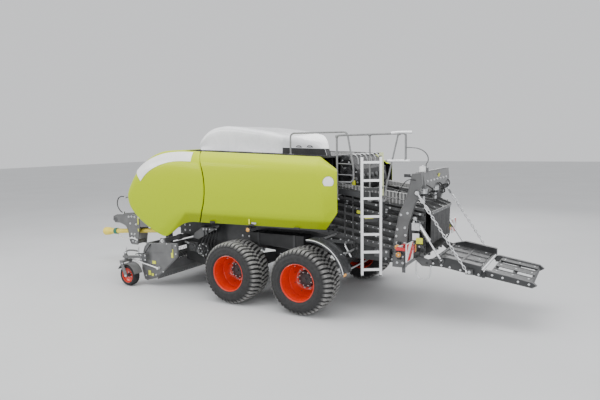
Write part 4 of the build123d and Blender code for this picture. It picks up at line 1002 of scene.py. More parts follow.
# ------------------------------------------------ marks on the green panels
mk = {}
for side, s in (("left", 1), ("right", -1)):
    d = Piece("door_trim_" + side).mat("dark")
    # rubber seal round the joint, hand hold and lower latch
    for k in range(3):
        x = (.1, .95, 1.75)[k]
        d.box(S(x, s * 1.262, 1.317 - .0 * x), (.10, .012, .03), bevel=.004)
    d.mat("white_mark")
    # blank white disc on the rear facet
    o0 = S(-.440, s * 1.2440, 2.045)
    nx = Vector((-.45, s * .893, 0)).normalized()
    d.lathe(o0 + nx * .0015, nx, [(0, .084), (.003, .083), (.0036, .080), (.0036, 0)], seg=48)
    d.mat("dark")
    d.lathe(o0 + nx * .0048, nx, [(0, .0825), (.0012, .0805), (.0, .0785)], seg=48)
    # small yellow and grey reflectors above the low edge
    d.mat("yellow_tag").box(S(.985, s * 1.267, 1.372), (.028, .008, .085), y=(0, 1, 0), bevel=.002)
    d.mat("white_grey").box(S(.905, s * 1.255, 1.347), (.085, .010, .026), bevel=.003)
    d.done("%s_door" % side)
    l = Piece("side_lamp_" + side).mat("chassis")
    l.box(S(1.02, s * 1.175, 1.262), (.10, .17, .018), bevel=.004)
    l.box(S(1.02, s * 1.255, 1.232), (.085, .020, .065), bevel=.006)
    l.bolt(S(.985, s * 1.14, 1.271), (0, 0, 1), r=.008)
    l.mat("amber").lathe(S(1.02, s * 1.262, 1.232), (0, s, 0), [(0, .034), (.006, .034), (.012, .029), (.016, .018), (.0175, 0)], seg=28)
    l.mat("chassis").lathe(S(1.02, s * 1.262, 1.232), (0, s, 0), [(0, .039), (.007, .039), (.008, .034), (.004, .034)], seg=28)
    l.done("chassis")

# ------------------------------------------------------------------- hitch
ht = Piece("hitch_detail")
for s in (1, -1):
    y = s * .135
    ht.mat("zinc")
    for x, z in ((5.02, 1.075), (4.93, 1.085), (4.84, 1.080), (4.95, .70), (4.86, .70), (4.95, .62), (4.86, .62), (4.80, .92), (4.98, .93)):
        ht.bolt(S(x, y, z), (0, s, 0), r=.017, h=.014, stud=True)
    for x, z in ((4.92, .545), (4.83, .53)):
        ht.bolt(S(x, y, z), (0, s, 0), r=.014, h=.012)
    ht.mat("shield")
    ht.lathe(S(5.44, y, 1.0), (0, s, 0), [(0, .052), (.010, .052), (.012, .049), (.012, .036)], seg=32)
    # raised edge band of the cheek
    ht.tube([S(5.49, y + s * .002, 1.060), S(5.385, y + s * .002, 1.104), S(4.90, y + s * .002, 1.144), S(4.71, y + s * .002, 1.089)], .007, 8, smooth=False)
    ht.tube([S(4.965, y + s * .002, .478), S(5.012, y + s * .002, .562), S(5.042, y + s * .002, .747), S(5.08, y + s * .002, .83), S(5.15, y + s * .002, .887), S(5.31, y + s * .002, .932), S(5.445, y + s * .002, .932)], .007, 8)
    ht.mat("yellow_tag")
    ht.box(S(4.735, y + s * .003, 1.00), (.035, .005, .155), bevel=.002)
    ht.box(S(4.735, y + s * .003, .80), (.030, .005, .06), bevel=.002)
    ht.box(S(3.60, s * .312, 1.06), (.10, .004, .05), y=(-.105, 1, 0), bevel=.001)
# steps and cross plates on the drawbar legs
ht.mat("deck")
ht.box(S(4.30, 0, 1.083), (.52, .30, .006), x=(1, 0, -.065), bevel=.002)
ht.mat("chassis")
ht.tube([S(4.04, .10, 1.10), S(4.06, .10, 1.20), S(4.20, .10, 1.235), S(4.50, .10, 1.215), S(4.62, .10, 1.13), S(4.70, .09, 1.06)], .008, 8)
ht.tube([S(4.04, .07, 1.10), S(4.06, .07, 1.17), S(4.20, .07, 1.205), S(4.50, .07, 1.185), S(4.62, .07, 1.11), S(4.70, .06, 1.05)], .008, 8)
ht.mat("zinc")
ht.box(S(4.72, .09, 1.075), (.05, .10, .04), bevel=.005)
for y in (.06, .09, .12):
    ht.cyl(S(4.74, y, 1.085), S(4.80, y, 1.10), .012, 12)
# holder of the front hose
ht.mat("zinc").box(S(5.228, 0, 1.491), (.034, .066, .030), bevel=.004)
ht.cyl(S(5.205, 0, 1.491), S(5.246, 0, 1.491), .019, 16)
ht.box(S(5.169, .125, 1.160), (.030, .034, .044), bevel=.003)
ht.cyl(S(5.178, .125, 1.166), S(5.1908, .125, 1.166), .016, 14)
# support fork of the drive shaft: bent rod with a round end
ht.mat("alu").tube([S(4.76, .150, .585), S(4.90, .158, .615), S(5.03, .150, .600), S(5.18, .10, .565), S(5.33, .04, .565), S(5.47, .0, .590), S(5.54, .0, .612)], .014, 12)
ht.lathe(S(5.548, -.016, .612), (0, 1, 0), [(0, .016), (0, .034), (.004, .036), (.028, .036), (.032, .034), (.032, .016)], seg=24, close=True)
ht.mat("zinc").bolt(S(4.76, .165, .583), (0, 1, 0), r=.016, h=.012)
# hydraulic quick couplers parked on top of the drawbar
for k in range(4):
    y = -.09 + k * .06
    ht.mat("zinc").cyl(S(4.62, y, 1.115), S(4.68, y, 1.150), .014, 12)
    ht.mat(("red", "yellow", "green_ring", "yellow")[k]).cyl(S(4.675, y, 1.147), S(4.720, y, 1.173), .016, 12)
    ht.mat("hose").tube([S(4.62, y, 1.115), S(4.50, y, 1.100), S(4.30, y * .9, 1.115), S(4.05, y * .8, 1.125), S(3.75, y * .8, 1.155), S(3.50, y * .8, 1.20)], .0095, 8)
ht.done("chassis", smooth=32)

# guard of the drive shaft
pa, pb = S(4.170, 0, .813), S(5.952, 0, .674)
pd = (pb - pa).normalized()
plen = (pb - pa).length
g = Piece("shaft_guard").mat("yellow")
q = plen
prof = [(0, .0445), (0, .066), (.012, .070), (.050, .070), (.058, .064), (.075, .060), (.082, .049), (q - .62, .049), (q - .61, .051), (q - .50, .051), (q - .494, .055), (q - .45, .056), (q - .44, .053), (q - .415, .0535)]
g.lathe(pa, pd, prof, seg=40)
g.mat("green_ring").lathe(pa, pd, [(q - .42, .050), (q - .418, .066), (q - .405, .069), (q - .345, .069), (q - .332, .066), (q - .330, .050)], seg=40)
g.mat("yellow").lathe(pa, pd, [(q - .335, .052), (q - .325, .060), (q - .300, .062), (q - .290, .060), (q - .262, .066), (q - .255, .064), (q - .228, .072), (q - .221, .070), (q - .194, .078), (q - .187, .076), (q - .16, .084),
                               (q - .150, .083), (q - .12, .0905), (q - .025, .0915), (q - .020, .0900), (q - .021, .0860), (q - .118, .0850), (q - .30, .0560)], seg=40)
g.mat("hose").lathe(S(3.985, 0, .890), S(3.228, 0, 1.500) - S(3.985, 0, .890), [(0, .051), (0, .0545)] + [x for k in range(12) for x in ((.03 + k * .077, .0545), (.035 + k * .077, .0505), (.045 + k * .077, .0505), (.05 + k * .077, .0545))] + [(.97, .0545), (.97, .051)], seg=28)
g.done("chassis", smooth=30, replaces="pto_guard", slot="guard_yellow")
yk = Piece("shaft_yoke").mat("cast")
for k in range(2):
    u, w = frame_of(pd)
    for sgn in (1, -1):
        yk.box(pb - pd * .028 + u * (sgn * .046), (.050, .012, .046), x=pd, y=u, bevel=.006)
yk.mat("zinc").cyl(pb - pd * .10, pb - pd * .002, .029, 20)
for k in range(6):
    u, w = frame_of(pd)
    a = math.pi / 3 * k
    yk.bolt(pa - pd * .071 + (u * math.cos(a) + w * math.sin(a)) * .044, -pd, r=.008, h=.006)
yk.done("drive_shaft")

# ------------------------------------------------------------------ pickup
pk = Piece("pickup_detail")
for s in (1, -1):
    y = s * 1.1815
    shield_line = [(3.375, .800), (2.655, .848), (2.655, .622), (3.172, .186), (3.425, .106), (3.490, .122), (3.549, .300), (3.532, .555), (3.460, .728)]
    pk.mat("shield")
    pts = [S(a, y, b) for a, b in shield_line]
    pk.tube(pts + [pts[0]], .0075, 8, smooth=False)
    # pressed ribs
    pk.tube([S(2.70, y, .60), S(3.14, y, .235), S(3.40, y, .165)], .010, 8)
    pk.box(S(3.05, y + s * .004, .74), (.56, .010, .16), x=(1, 0, -.07), bevel=.006)
    pk.mat("yellow_tag")
    pk.box(S(2.775, y + s * .004, .665), (.05, .004, .16), bevel=.001)
    pk.box(S(3.235, y + s * .004, .455), (.085, .004, .055), bevel=.001)
    pk.box(S(3.36, y + s * .004, .245), (.06, .004, .085), bevel=.001)
    pk.box(S(3.285, y + s * .004, .215), (.05, .004, .05), bevel=.001)
    pk.mat("zinc")
    for x, z in ((2.69, .815), (2.69, .66), (3.02, .30), (3.33, .775), (3.50, .62), (3.52, .40), (3.46, .18), (3.20, .22), (2.90, .83)):
        pk.bolt(S(x, y, z), (0, s, 0), r=.011, h=.008)
    pk.bolt(S(3.01, y, .88), (0, s, 0), r=.026, h=.02)
    # arm of the gauge wheel: bolted bracket, adjusting spindle and light rod
    pk.mat("cast").box(S(3.45, s * 1.245, .540), (.17, .014, .14), bevel=.006)
    pk.mat("zinc")
    for dx in (-.055, .055):
        for dz in (-.04, .04):
            pk.bolt(S(3.45 + dx, s * 1.252, .540 + dz), (0, s, 0), r=.011, h=.008)
    pk.mat("alu").tube([S(3.115, s * 1.215, .362), S(3.30, s * 1.222, .397), S(3.54, s * 1.228, .440), S(3.66, s * 1.236, .468), S(3.74, s * 1.262, .505)], .013, 10)
    pk.cyl(S(3.115, s * 1.18, .362), S(3.115, s * 1.236, .362), .024, 18)
    pk.mat("zinc")
    pk.cyl(S(3.835, s * 1.30, .560), S(3.835, s * 1.30, .690), .011, 12)
    pk.cyl(S(3.60, s * 1.215, .560), S(3.60, s * 1.215, .700), .014, 14)
    pk.bolt(S(3.60, s * 1.215, .70), (0, 0, 1), r=.02, h=.016)
    pk.bolt(S(3.835, s * 1.30, .69), (0, 0, 1), r=.018, h=.016)
    pk.mat("arm").tube([S(3.60, s * 1.215, .640), S(3.70, s * 1.25, .655), S(3.80, s * 1.29, .650), S(3.86, s * 1.33, .600)], .017, 12)
    pk.mat("hose").tube([S(3.30, s * 1.195, .80), S(3.36, s * 1.22, .70), S(3.44, s * 1.225, .62), S(3.58, s * 1.23, .60), S(3.66, s * 1.24, .58)], .009, 8)
# pivot tube collars
for s in (1, -1):
    pk.mat("cast").pipe(S(3.01, s * .68, .88), S(3.01, s * .76, .88), .056, .0425, 28)
# strippers: curved bands over the reel
pk.mat("shield")
for k in range(30):
    y = -1.059 + k * .073
    arc = []
    for j in range(13):
        a = math.radians(-80 + j * 20)
        arc.append((3.29 + .176 * math.cos(a), .365 + .176 * math.sin(a)))
    rows = [[S(a, y - .026, b), S(a, y + .026, b)] for a, b in arc]
    rows2 = [[S(3.29 + (a - 3.29) * 1.02, y - .026, .365 + (b - .365) * 1.02), S(3.29 + (a - 3.29) * 1.02, y + .026, .365 + (b - .365) * 1.02)] for a, b in arc]
    loop = [[r[0], r[1], q2[1], q2[0]] for r, q2 in zip(rows, rows2)]
    pk.grid(loop, close=True)
pk.done("pickup", smooth=32)

rl = Piece("reel_tines").mat("zinc")
for bar in range(5):
    a0 = 2 * math.pi * bar / 5
    for k in range(30):
        y = -1.0955 + k * .073
        if abs(y) > 1.10:
            continue
        for dy in (0,):
            pts = []
            for r_, da in ((.150, 0), (.182, .05), (.214, .16), (.241, .32)):
                a = a0 + da + (k % 2) * .05
                pts.append(S(3.29 + r_ * math.cos(a), y + dy, .365 + r_ * math.sin(a)))
            rl.tube(pts, .0042, 6, steps=4)
    rl.mat("cast").tube([S(3.29 + .152 * math.cos(a0), y, .365 + .152 * math.sin(a0)) for y in (-1.095, 0, 1.095)], .012, 8, smooth=False)
    rl.mat("zinc")
rl.done("reel", smooth=40)

cr = Piece("roller_detail").mat("zinc")
for s in (1, -1):
    for k in range(6):
        a = math.pi / 3 * k
        cr.bolt(S(3.44 + .034 * math.cos(a), s * 1.1085, .64 + .034 * math.sin(a)), (0, s, 0), r=.008, h=.006)
cr.mat("arm")
for k in range(14):
    y = -1.0 + k * .1538
    cr.lathe(S(3.44, y - .004, .64), (0, 1, 0), [(0, .0595), (.0008, .0625), (.0072, .0625), (.008, .0595)], seg=40)
# wind guard rods over the roller and its cross tube, which lift with it
cr.tube([S(3.475, y, .770) for y in (-1.105, -.6, 0, .6, 1.105)], .028, 16)
for k in range(37):
    y = -1.08 + k * .06
    cr.mat("zinc").tube([S(3.475, y, .745), S(3.49, y, .735), S(3.500, y, .722)], .004, 6)
cr.done("roller")

# gauge wheels with their forks and little mudguards
for side, s, cb, gb in (("left", 1, "caster_l", "gauge_l"), ("right", -1, "caster_r", "gauge_r")):
    c = S(3.73, s * 1.33, .2)
    gw = Piece("gauge_tyre_" + side).mat("tyre")
    pr = [(-.058, .128), (-.064, .136), (-.073, .150), (-.0745, .168), (-.066, .186), (-.048, .1965), (-.030, .1995), (-.026, .1950), (-.018, .1950), (-.014, .1998), (.014, .1998), (.018, .1950), (.026, .1950), (.030, .1995),
          (.048, .1965), (.066, .186), (.0745, .168), (.073, .150), (.064, .136), (.058, .128), (.0, .120)]
    gw.lathe(c, (0, s, 0), pr, seg=72, close=True)
    o = gw.done(gb, smooth=40, replaces="gauge_wheel_" + side, slot="gauge_tyre")
    rim = Piece("gauge_rim_" + side).mat("red")
    for q2 in (1, -1):
        rim.lathe(c, (0, q2 * s, 0), [(.010, .0), (.010, .055), (.014, .072), (.026, .112), (.040, .128), (.056, .1345), (.0615, .1405), (.0660, .1400), (.0655, .1350), (.058, .1275), (.0, .1205)], seg=56)
    rim.mat("hub").lathe(c, (0, s, 0), [(-.058, .0125), (-.058, .030), (-.020, .036), (.020, .036), (.058, .030), (.058, .0125)], seg=32, close=True)
    rim.mat("zinc")
    for q2 in (1, -1):
        for k in range(5):
            a = 2 * math.pi * k / 5
            rim.bolt(c + Vector((.050 * math.cos(a), q2 * .0125, .050 * math.sin(a))), (0, q2, 0), r=.008, h=.006)
    rim.done(gb, smooth=32)
    f = Piece("gauge_guard_" + side).mat("arm")
    # curved mudguard over the wheel
    for r_in, r_out, a0, a1 in ((.226, .233, 28, 168),):
        rows = []
        for j in range(25):
            a = math.radians(a0 + (a1 - a0) * j / 24)
            ca, sa = math.cos(a), math.sin(a)
            rows.append([c + Vector((r_in * ca, -.100, r_in * sa)), c + Vector((r_in * ca, .100, r_in * sa)), c + Vector((r_out * ca, .100, r_out * sa)), c + Vector((r_out * ca, -.100, r_out * sa))])
        f.grid(rows, close=True)
        f.poly(rows[0], [(0, 1, 2, 3)])
        f.poly(rows[-1], [(3, 2, 1, 0)])
    f.mat("zinc")
    for q2 in (1, -1):
        f.bolt(S(3.73, s * 1.33 + q2 * .109, .2), (0, q2, 0), r=.016, h=.012)
        f.bolt(S(3.80, s * 1.33 + q2 * .109, .430), (0, q2, 0), r=.011, h=.008)
    f.bolt(S(3.815, s * 1.33, .611), (0, 0, 1), r=.024, h=.018)
    f.mat("cast").pipe(S(3.815, s * 1.33, .487), S(3.815, s * 1.33, .489), .030, .0205, 24)
    f.done(cb, smooth=32)

# ------------------------------------------------- drives under the body
ub = Piece("underbody_drives")
for s in (1, -1):
    # lighter sheet behind the front wheel
    ub.mat("shield").side([(2.55, .93), (2.50, 1.02), (2.30, 1.14), (1.93, 1.19), (1.93, 1.165), (2.20, 1.02), (2.42, .90)], s * .86, .012, .003)
    ub.mat("chassis").box(S(2.2, s * .76, 1.03), (.05, .20, .05), bevel=.006)
    # side gearbox with ribbed housing and flange
    cx = S(2.36, s * .70, .70)
    ub.mat("cast").lathe(cx, (0, s, 0), [(0, .0), (0, .125), (.02, .130), (.10, .130), (.115, .120), (.120, .092), (.175, .086), (.185, .070), (.205, .066), (.205, .034), (.25, .032), (.25, 0)], seg=40)
    for k in range(12):
        a = math.pi / 6 * k
        d = Vector((math.cos(a), 0, math.sin(a)))
        ub.box(cx + d * .131 + Vector((0, s * .06, 0)), (.022, .085, .008), x=d, y=(0, 1, 0), bevel=.002)
    ub.mat("zinc")
    for k in range(8):
        a = math.pi / 4 * k
        d = Vector((math.cos(a), 0, math.sin(a)))
        ub.bolt(cx + d * .108 + Vector((0, s * .118, 0)), (0, s, 0), r=.010, h=.008)
    for k in range(6):
        a = math.pi / 3 * k
        d = Vector((math.cos(a), 0, math.sin(a)))
        ub.bolt(cx + d * .052 + Vector((0, s * .205, 0)), (0, s, 0), r=.007, h=.006)
    ub.mat("cast").box(S(2.60, s * .72, .74), (.20, .16, .18), bevel=.02)
    ub.lathe(S(2.60, s * .80, .74), (0, s, 0), [(0, .075), (.03, .075), (.04, .06), (.06, .055), (.06, 0)], seg=32)
    ub.mat("zinc").cyl(S(2.70, s * .73, .76), S(2.86, s * .73, .80), .022, 18)
    # hoses that run down past the gearbox, clamped at their upper ends
    ub.mat("hose")
    for k in range(5):
        y = s * (.80 + .028 * k)
        x0 = 2.05 + .05 * k
        ub.tube([S(x0, y, 1.10), S(x0 - .02, y, 1.00), S(x0 + .03, y + s * .03, .86), S(x0 + .01, y + s * .02, .70), S(x0 - .04, y, .56), S(x0 - .05, s * .66, .50)], .011, 8)
    ub.mat("zinc")
    for k in range(5):
        y = s * (.80 + .028 * k)
        ub.cyl(S(2.05 + .05 * k, y, 1.09), S(2.05 + .05 * k, y, 1.135), .014, 10)
    ub.mat("chassis").box(S(2.15, s * .86, 1.145), (.30, .16, .02), bevel=.004)
    # stand foot that shows bright below the drives
    ub.mat("chassis").tube([S(2.05, s * .64, .60), S(2.07, s * .72, .50), S(2.10, s * .80, .44)], .020, 12)
    ub.mat("zinc").cyl(S(2.10, s * .80, .455), S(2.11, s * .815, .415), .040, 20)
    # brake cylinder and lever at each axle
    for x in (0.0, 1.305):
        ub.mat("chassis").cyl(S(x + .20, s * .58, .62), S(x + .36, s * .58, .66), .062, 24, chamfer=.010)
        ub.mat("zinc").cyl(S(x + .10, s * .58, .60), S(x + .20, s * .58, .62), .010, 10)
        ub.mat("cast").box(S(x + .09, s * .58, .59), (.02, .02, .13), bevel=.005)
    # side tank between the wheels and the channel
    ub.mat("dark").box(S(.70, s * .80, 1.03), (1.05, .24, .20), bevel=.03, seg=3)
    for x in (.35, 1.05):
        ub.mat("chassis").box(S(x, s * .80, 1.03), (.045, .252, .212), bevel=.02, seg=3)
    # panel props and low longitudinal rail under the green panels
    ub.mat("chassis").box(S(.75, s * 1.165, 1.300), (2.30, .050, .030), bevel=.004)
    for x in (-.3, .45, 1.2, 1.85):
        ub.box(S(x, s * .93, 1.292), (.05, .50, .030), bevel=.004)
        ub.box(S(x, s * .715, 1.262), (.05, .03, .09), bevel=.004)
# needle frame crossing under the channel
ub.mat("arm")
for s in (1, -1):
    ub.side([(.98, .94), (.92, .99), (.35, .90), (-.20, .93), (-.22, .88), (.35, .845), (.95, .89)], s * .735, .025, .004)
ub.tube([S(-.21, y, .905) for y in (-.735, 0, .735)], .030, 16, smooth=False)
for k in range(6):
    y = -.50 + k * .20
    ub.mat("cast").tube([S(-.21, y, .905), S(-.34, y, .935), S(-.45, y, 1.00), S(-.50, y, 1.06)], lambda t: .016 - .008 * t, 10)
# frame detail: bolted joints on the webs
for s in (1, -1):
    ub.mat("zinc")
    for x, z in ((-1.22, .84), (-1.22, .90), (-1.12, .84), (-1.12, .90), (-.42, .86), (-.28, .86), (1.43, .90), (1.57, .90), (1.43, 1.0), (1.57, 1.0), (2.80, 1.01), (2.92, 1.01), (2.80, 1.11), (2.92, 1.11)):
        ub.bolt(S(x, s * .6505, z), (0, s, 0), r=.013, h=.010)
    for x in (.53, .78):
        for z in (.68, .74):
            ub.bolt(S(x, s * .6505, z), (0, s, 0), r=.013, h=.010)
    ub.mat("cast").lathe(S(.65, s * .650, .70), (0, s, 0), [(0, .085), (.015, .085), (.02, .08), (.02, .045), (.03, .04), (.03, 0)], seg=36)
ub.done("chassis", smooth=32)

# -------------------------------------------------- channel: bolts and rails
rib_mid = [.022, .130, .252, .372, .490, .608, .680]


def fl(x):
    return 1.217 + math.tan(math.radians(9)) * x


ch = Piece("channel_detail")
cs = Vector((1, 0, math.tan(math.radians(9)))).normalized()
cn = Vector((-cs.z, 0, cs.x))
for s in (1, -1):
    ch.mat("zinc")
    for h in (.022, .252, .490, .680):
        for k in range(15):
            x = -1.20 + k * .09 * (1 if h < .5 else 1)
            if x > -.45:
                continue
            if -1.56 < x < -1.27:
                continue
            ch.bolt(S(x, s * .7005, fl(x) + h), (0, s, 0), r=.009, h=.006, washer=False)
    for h in (.130, .372, .608):
        for x in (-.72, -.98, -1.20, -1.66):
            ch.bolt(S(x, s * .7005, fl(x) + h), (0, s, 0), r=.012, h=.009)
    # lighter strips along the top edges of the ribs
    ch.mat("shield")
    for lo, hi in ((0, .044), (.110, .150), (.232, .272), (.352, .392), (.470, .510), (.588, .628), (.660, .700)):
        ch.box(S(-.40, s * .7015, fl(-.40) + hi - .003), (2.62, .004, .005), x=cs, y=(0, 1, 0), bevel=.0012)
    # hydraulic pipes along the wall
    ch.mat("hose")
    for h in (.545, .562):
        ch.tube([S(x, s * .712, fl(x) + h) for x in (-1.24, -.8, -.2, .6, 1.2)], .008, 8)
    ch.mat("zinc")
    for x in (-1.15, -.75, -.50):
        ch.box(S(x, s * .708, fl(x) + .553), (.03, .02, .06), x=cs, y=(0, 1, 0), bevel=.003)
    # yellow blank label plate half way
    ch.mat("yellow_tag").box(S(-.865, s * .7035, fl(-.865) + .365), (.14, .004, .048), x=cs, y=(0, 1, 0), bevel=.001)
    ch.box(S(-.700, s * .7035, fl(-.700) + .440), (.075, .004, .050), x=cs, y=(0, 1, 0), bevel=.001)
    # upright stiffeners on the wall under the panel's rear edge
    ch.mat("channel")
    for x in (-.46, -.60):
        ch.box(S(x, s * .708, fl(x) + .35), (.022, .014, .69), x=(1, 0, 0), bevel=.003)
    # walkway of patterned sheet with a folded edge
    ch.mat("deck")
    ch.box(S(-1.185, s * .652, fl(-1.185) + .7575), (.585, .093, .005), x=cs, y=(0, 1, 0), bevel=.001)
    ch.box(S(-1.185, s * .7015, fl(-1.185) + .726), (.585, .004, .066), x=cs, y=(0, 1, 0), bevel=.001)
    ch.box(S(-.62, s * .640, fl(-.62) + .7575), (.52, .10, .005), x=cs, y=(0, 1, 0), bevel=.001)
    ch.box(S(-.62, s * .7015, fl(-.62) + .726), (.52, .004, .066), x=cs, y=(0, 1, 0), bevel=.001)
# flap: bolts along the ribs, rear lip
ch.done("chassis", smooth=32)

fp = Piece("flap_detail").mat("zinc")
for y in (-.45, -.16, .16, .45):
    for k in range(7):
        x = -1.0 - k * .12
        z = lerp(1.772, 1.575, (x + .915) / (-1.80 + .915)) + .0175
        fp.bolt(S(x, y, z), (-.22, 0, 1), r=.010, h=.007)
fp.mat("channel").tube([S(-1.797, y, 1.583) for y in (-.58, 0, .58)], .013, 10, smooth=False)
for y in (-.5, -.25, 0, .25, .5):
    fp.mat("zinc").bolt(S(-1.797, y, 1.560), (-1, 0, 0), r=.010, h=.007)
fp.mat("shield").box(S(-1.7985, 0, 1.560), (.006, 1.13, .036), bevel=.002)
fp.done("pressure_flap")

# rubber curtain: soft folds across its width, an uneven foot
cu = Piece("curtain").mat("curtain")
rows = []
NW, NH = 56, 18
for side_off in (-.0032, .0032):
    grid = []
    for j in range(NH + 1):
        v = j / NH
        row = []
        for i in range(NW + 1):
            u = i / NW
            y = lerp(-.562, .562, u)
            amp = .0085 * v ** 1.2
            x = -1.7885 + amp * math.sin(u * 26 + .8 * math.sin(3 * v)) + .004 * v * math.sin(u * 61 + 1.3)
            x = min(-1.7805, max(-1.8, x))
            z = 1.573 - v * (.466 + .006 * math.sin(u * 17))
            row.append(S(x + side_off, y, z))
        grid.append(row)
    rows.append(grid)
cu.grid(rows[0])
cu.grid([list(reversed(r)) for r in rows[1]])
n0 = [r[0] for r in rows[0]]
for a, b in ((0, 0), (-1, -1)):
    cu.grid([[rows[0][j][a] for j in range(NH + 1)], [rows[1][j][b] for j in range(NH + 1)]])
cu.grid([rows[0][0], rows[1][0]])
cu.grid([rows[0][-1], rows[1][-1]])
cur = cu.done("pressure_flap", smooth=60, replaces="mouth_curtain" if "mouth_curtain" in NODES else (), slot="curtain" if "mouth_curtain" in NODES else None, weld=True)

# ------------------------------------------------------- knotter housing
kn = Piece("knotter_detail")
for s in (1, -1):
    kn.mat("chassis")
    for x0, z0, x1, z1 in ((-.36, 1.95, -.36, 2.37), (-.52, 1.95, -.50, 2.345), (-.640, 1.98, -.622, 2.19), (-.36, 2.37, -.475, 2.365), (-.475, 2.36, -.625, 2.185), (-.36, 2.10, -.655, 2.06)):
        a, b = S(x0, s * .602, z0), S(x1, s * .602, z1)
        d = b - a
        kn.box((a + b) / 2, (d.length, .022, .035), x=d, y=(0, 1, 0), bevel=.004)
    kn.mat("cast")
    for k, x in enumerate((-.42, -.49, -.56, -.61)):
        kn.lathe(S(x, s * .590, 2.20 - .05 * k), (0, s, 0), [(0, .036), (.035, .034), (.045, .028), (.050, .016), (.062, .014), (.062, 0)], seg=24)
    kn.mat("yellow_tag").box(S(-.585, s * .632, 2.00), (.045, .030, .080), bevel=.006)
    kn.mat("yellow").cyl(S(-.585, s * .640, 2.045), S(-.585, s * .640, 2.075), .014, 12)
    kn.mat("hose")
    for k in range(4):
        kn.tube([S(-.36, s * (.625 + .012 * k), 2.26 - .03 * k), S(-.43, s * .650, 2.20 - .03 * k), S(-.50, s * .648, 2.22 - .03 * k), S(-.58, s * .636, 2.13 - .03 * k), S(-.64, s * .612, 2.07 - .02 * k)], .009, 8)
    kn.mat("zinc")
    for x, z in ((-.38, 2.34), (-.49, 2.31), (-.38, 1.98), (-.53, 1.97), (-.615, 2.16), (-.635, 2.00), (-.38, 2.12), (-.53, 2.09)):
        kn.bolt(S(x, s * .613, z), (0, s, 0), r=.010, h=.008)
# twine arms over the housing, small parts on its sloping rear face
for k in range(6):
    y = -.46 + k * .184
    kn.mat("zinc").tube([S(-.44, y, 2.390), S(-.455, y, 2.425), S(-.53, y + .02, 2.432), S(-.585, y + .02, 2.37), S(-.595, y + .02, 2.28)], .006, 8)
    kn.mat("cast").box(S(-.42, y, 2.400), (.09, .07, .03), bevel=.006)
    kn.mat("cast").lathe(S(-.662, y, 2.09), (-1, 0, .2), [(0, .040), (.022, .040), (.030, .026), (.036, 0)], seg=20)
kn.mat("chassis").box(S(-.405, 0, 2.398), (.14, 1.12, .012), bevel=.003)
# folded walkway boxes along both edges of the channel top
for s in (1, -1):
    kn.mat("deck").prism([S(a, s * .606, b) for a, b in ((-.371, 1.935), (-.371, 1.982), (-1.462, 1.850), (-1.462, 1.762), (-.92, 1.848), (-.60, 1.895))], (0, s * .092, 0), .004)
    kn.tube([S(-.373, s * .697, 1.981), S(-1.460, s * .697, 1.850)], .0055, 8, smooth=False)
kn.done("chassis", smooth=32)

# ---------------------------------------------------------- tension frame
tf = Piece("tension_detail")
for s in (1, -1):
    y = s * .7853
    tf.mat("zinc")
    for x, z in ((-1.33, 1.23), (-1.47, 1.25), (-1.34, 1.13), (-1.46, 1.13), (-1.345, 1.33), (-1.46, 1.36), (-1.40, 1.55), (-1.50, 1.58), (-1.345, .83), (-1.43, .83), (-1.345, .93), (-1.43, .93)):
        tf.bolt(S(x, y, z), (0, s, 0), r=.013, h=.010)
    # raised edge bead round the plate
    tf.mat("arm")
    line = [(-1.276, .77), (-1.286, 1.08), (-1.316, 1.28), (-1.377, 1.565), (-1.497, 1.835), (-1.566, 2.152), (-1.693, 2.166), (-1.708, 2.0), (-1.594, 1.702), (-1.554, 1.55), (-1.514, 1.40), (-1.494, 1.19), (-1.465, .77)]
    pts = [S(a, y, b) for a, b in line]
    tf.tube(pts + [pts[0]], .006, 8, smooth=False)
    tf.mat("cast").lathe(S(-1.65, s * .785, 1.883), (0, s, 0), [(0, .050), (.010, .050), (.013, .046), (.013, .0)], seg=28)
    tf.mat("zinc").lathe(S(-1.65, s * .8372, 1.883), (0, s, 0), [(0, .0), (0, .026), (.006, .026), (.009, .020), (.009, 0)], seg=24)
    # hydraulic block with yellow blank label, pipes
    tf.mat("zinc").box(S(-1.635, s * .800, 1.395), (.105, .075, .105), bevel=.008)
    tf.cyl(S(-1.60, s * .80, 1.44), S(-1.60, s * .80, 1.475), .018, 14)
    tf.mat("hub").cyl(S(-1.665, s * .80, 1.44), S(-1.665, s * .80, 1.49), .020, 14)
    tf.mat("alu").box(S(-1.645, s * .842, 1.250), (.10, .006, .10), bevel=.002)
    tf.mat("yellow_tag").box(S(-1.700, s * .846, 1.195), (.095, .006, .085), bevel=.002)
    tf.mat("hose")
    tf.tube([S(-1.60, s * .80, 1.345), S(-1.61, s * .82, 1.27), S(-1.66, s * .83, 1.17), S(-1.65, s * .82, 1.05), S(-1.58, s * .80, .98), S(-1.50, s * .79, .96)], .010, 8)
    tf.tube([S(-1.665, s * .80, 1.345), S(-1.69, s * .82, 1.20), S(-1.72, s * .83, 1.08), S(-1.69, s * .82, .985), S(-1.62, s * .80, .935), S(-1.50, s * .79, .92)], .010, 8)
    tf.mat("chassis").box(S(-1.585, s * .795, 1.30), (.11, .02, .30), bevel=.005)
# row of small fittings under the box beam, on its rear face
tf.mat("zinc")
for k in range(7):
    y = -.54 + k * .18
    tf.bolt(S(-1.722, y, 2.035), (-1, 0, .17), r=.014, h=.010)
tf.mat("yellow_tag").box(S(-1.7195, -.10, 2.085), (.004, .09, .07), x=(1, 0, .17), y=(0, 1, 0), bevel=.001)
tf.mat("white_mark").box(S(-1.665, .600, 2.213), (.075, .075, .085), bevel=.014, seg=3)
tf.mat("zinc").cyl(S(-1.665, .600, 2.255), S(-1.665, .600, 2.270), .018, 16)
tf.mat("arm").box(S(-1.64, 0, 2.1745), (.13, 1.30, .006), x=(1, 0, -.107), y=(0, 1, 0), bevel=.002)
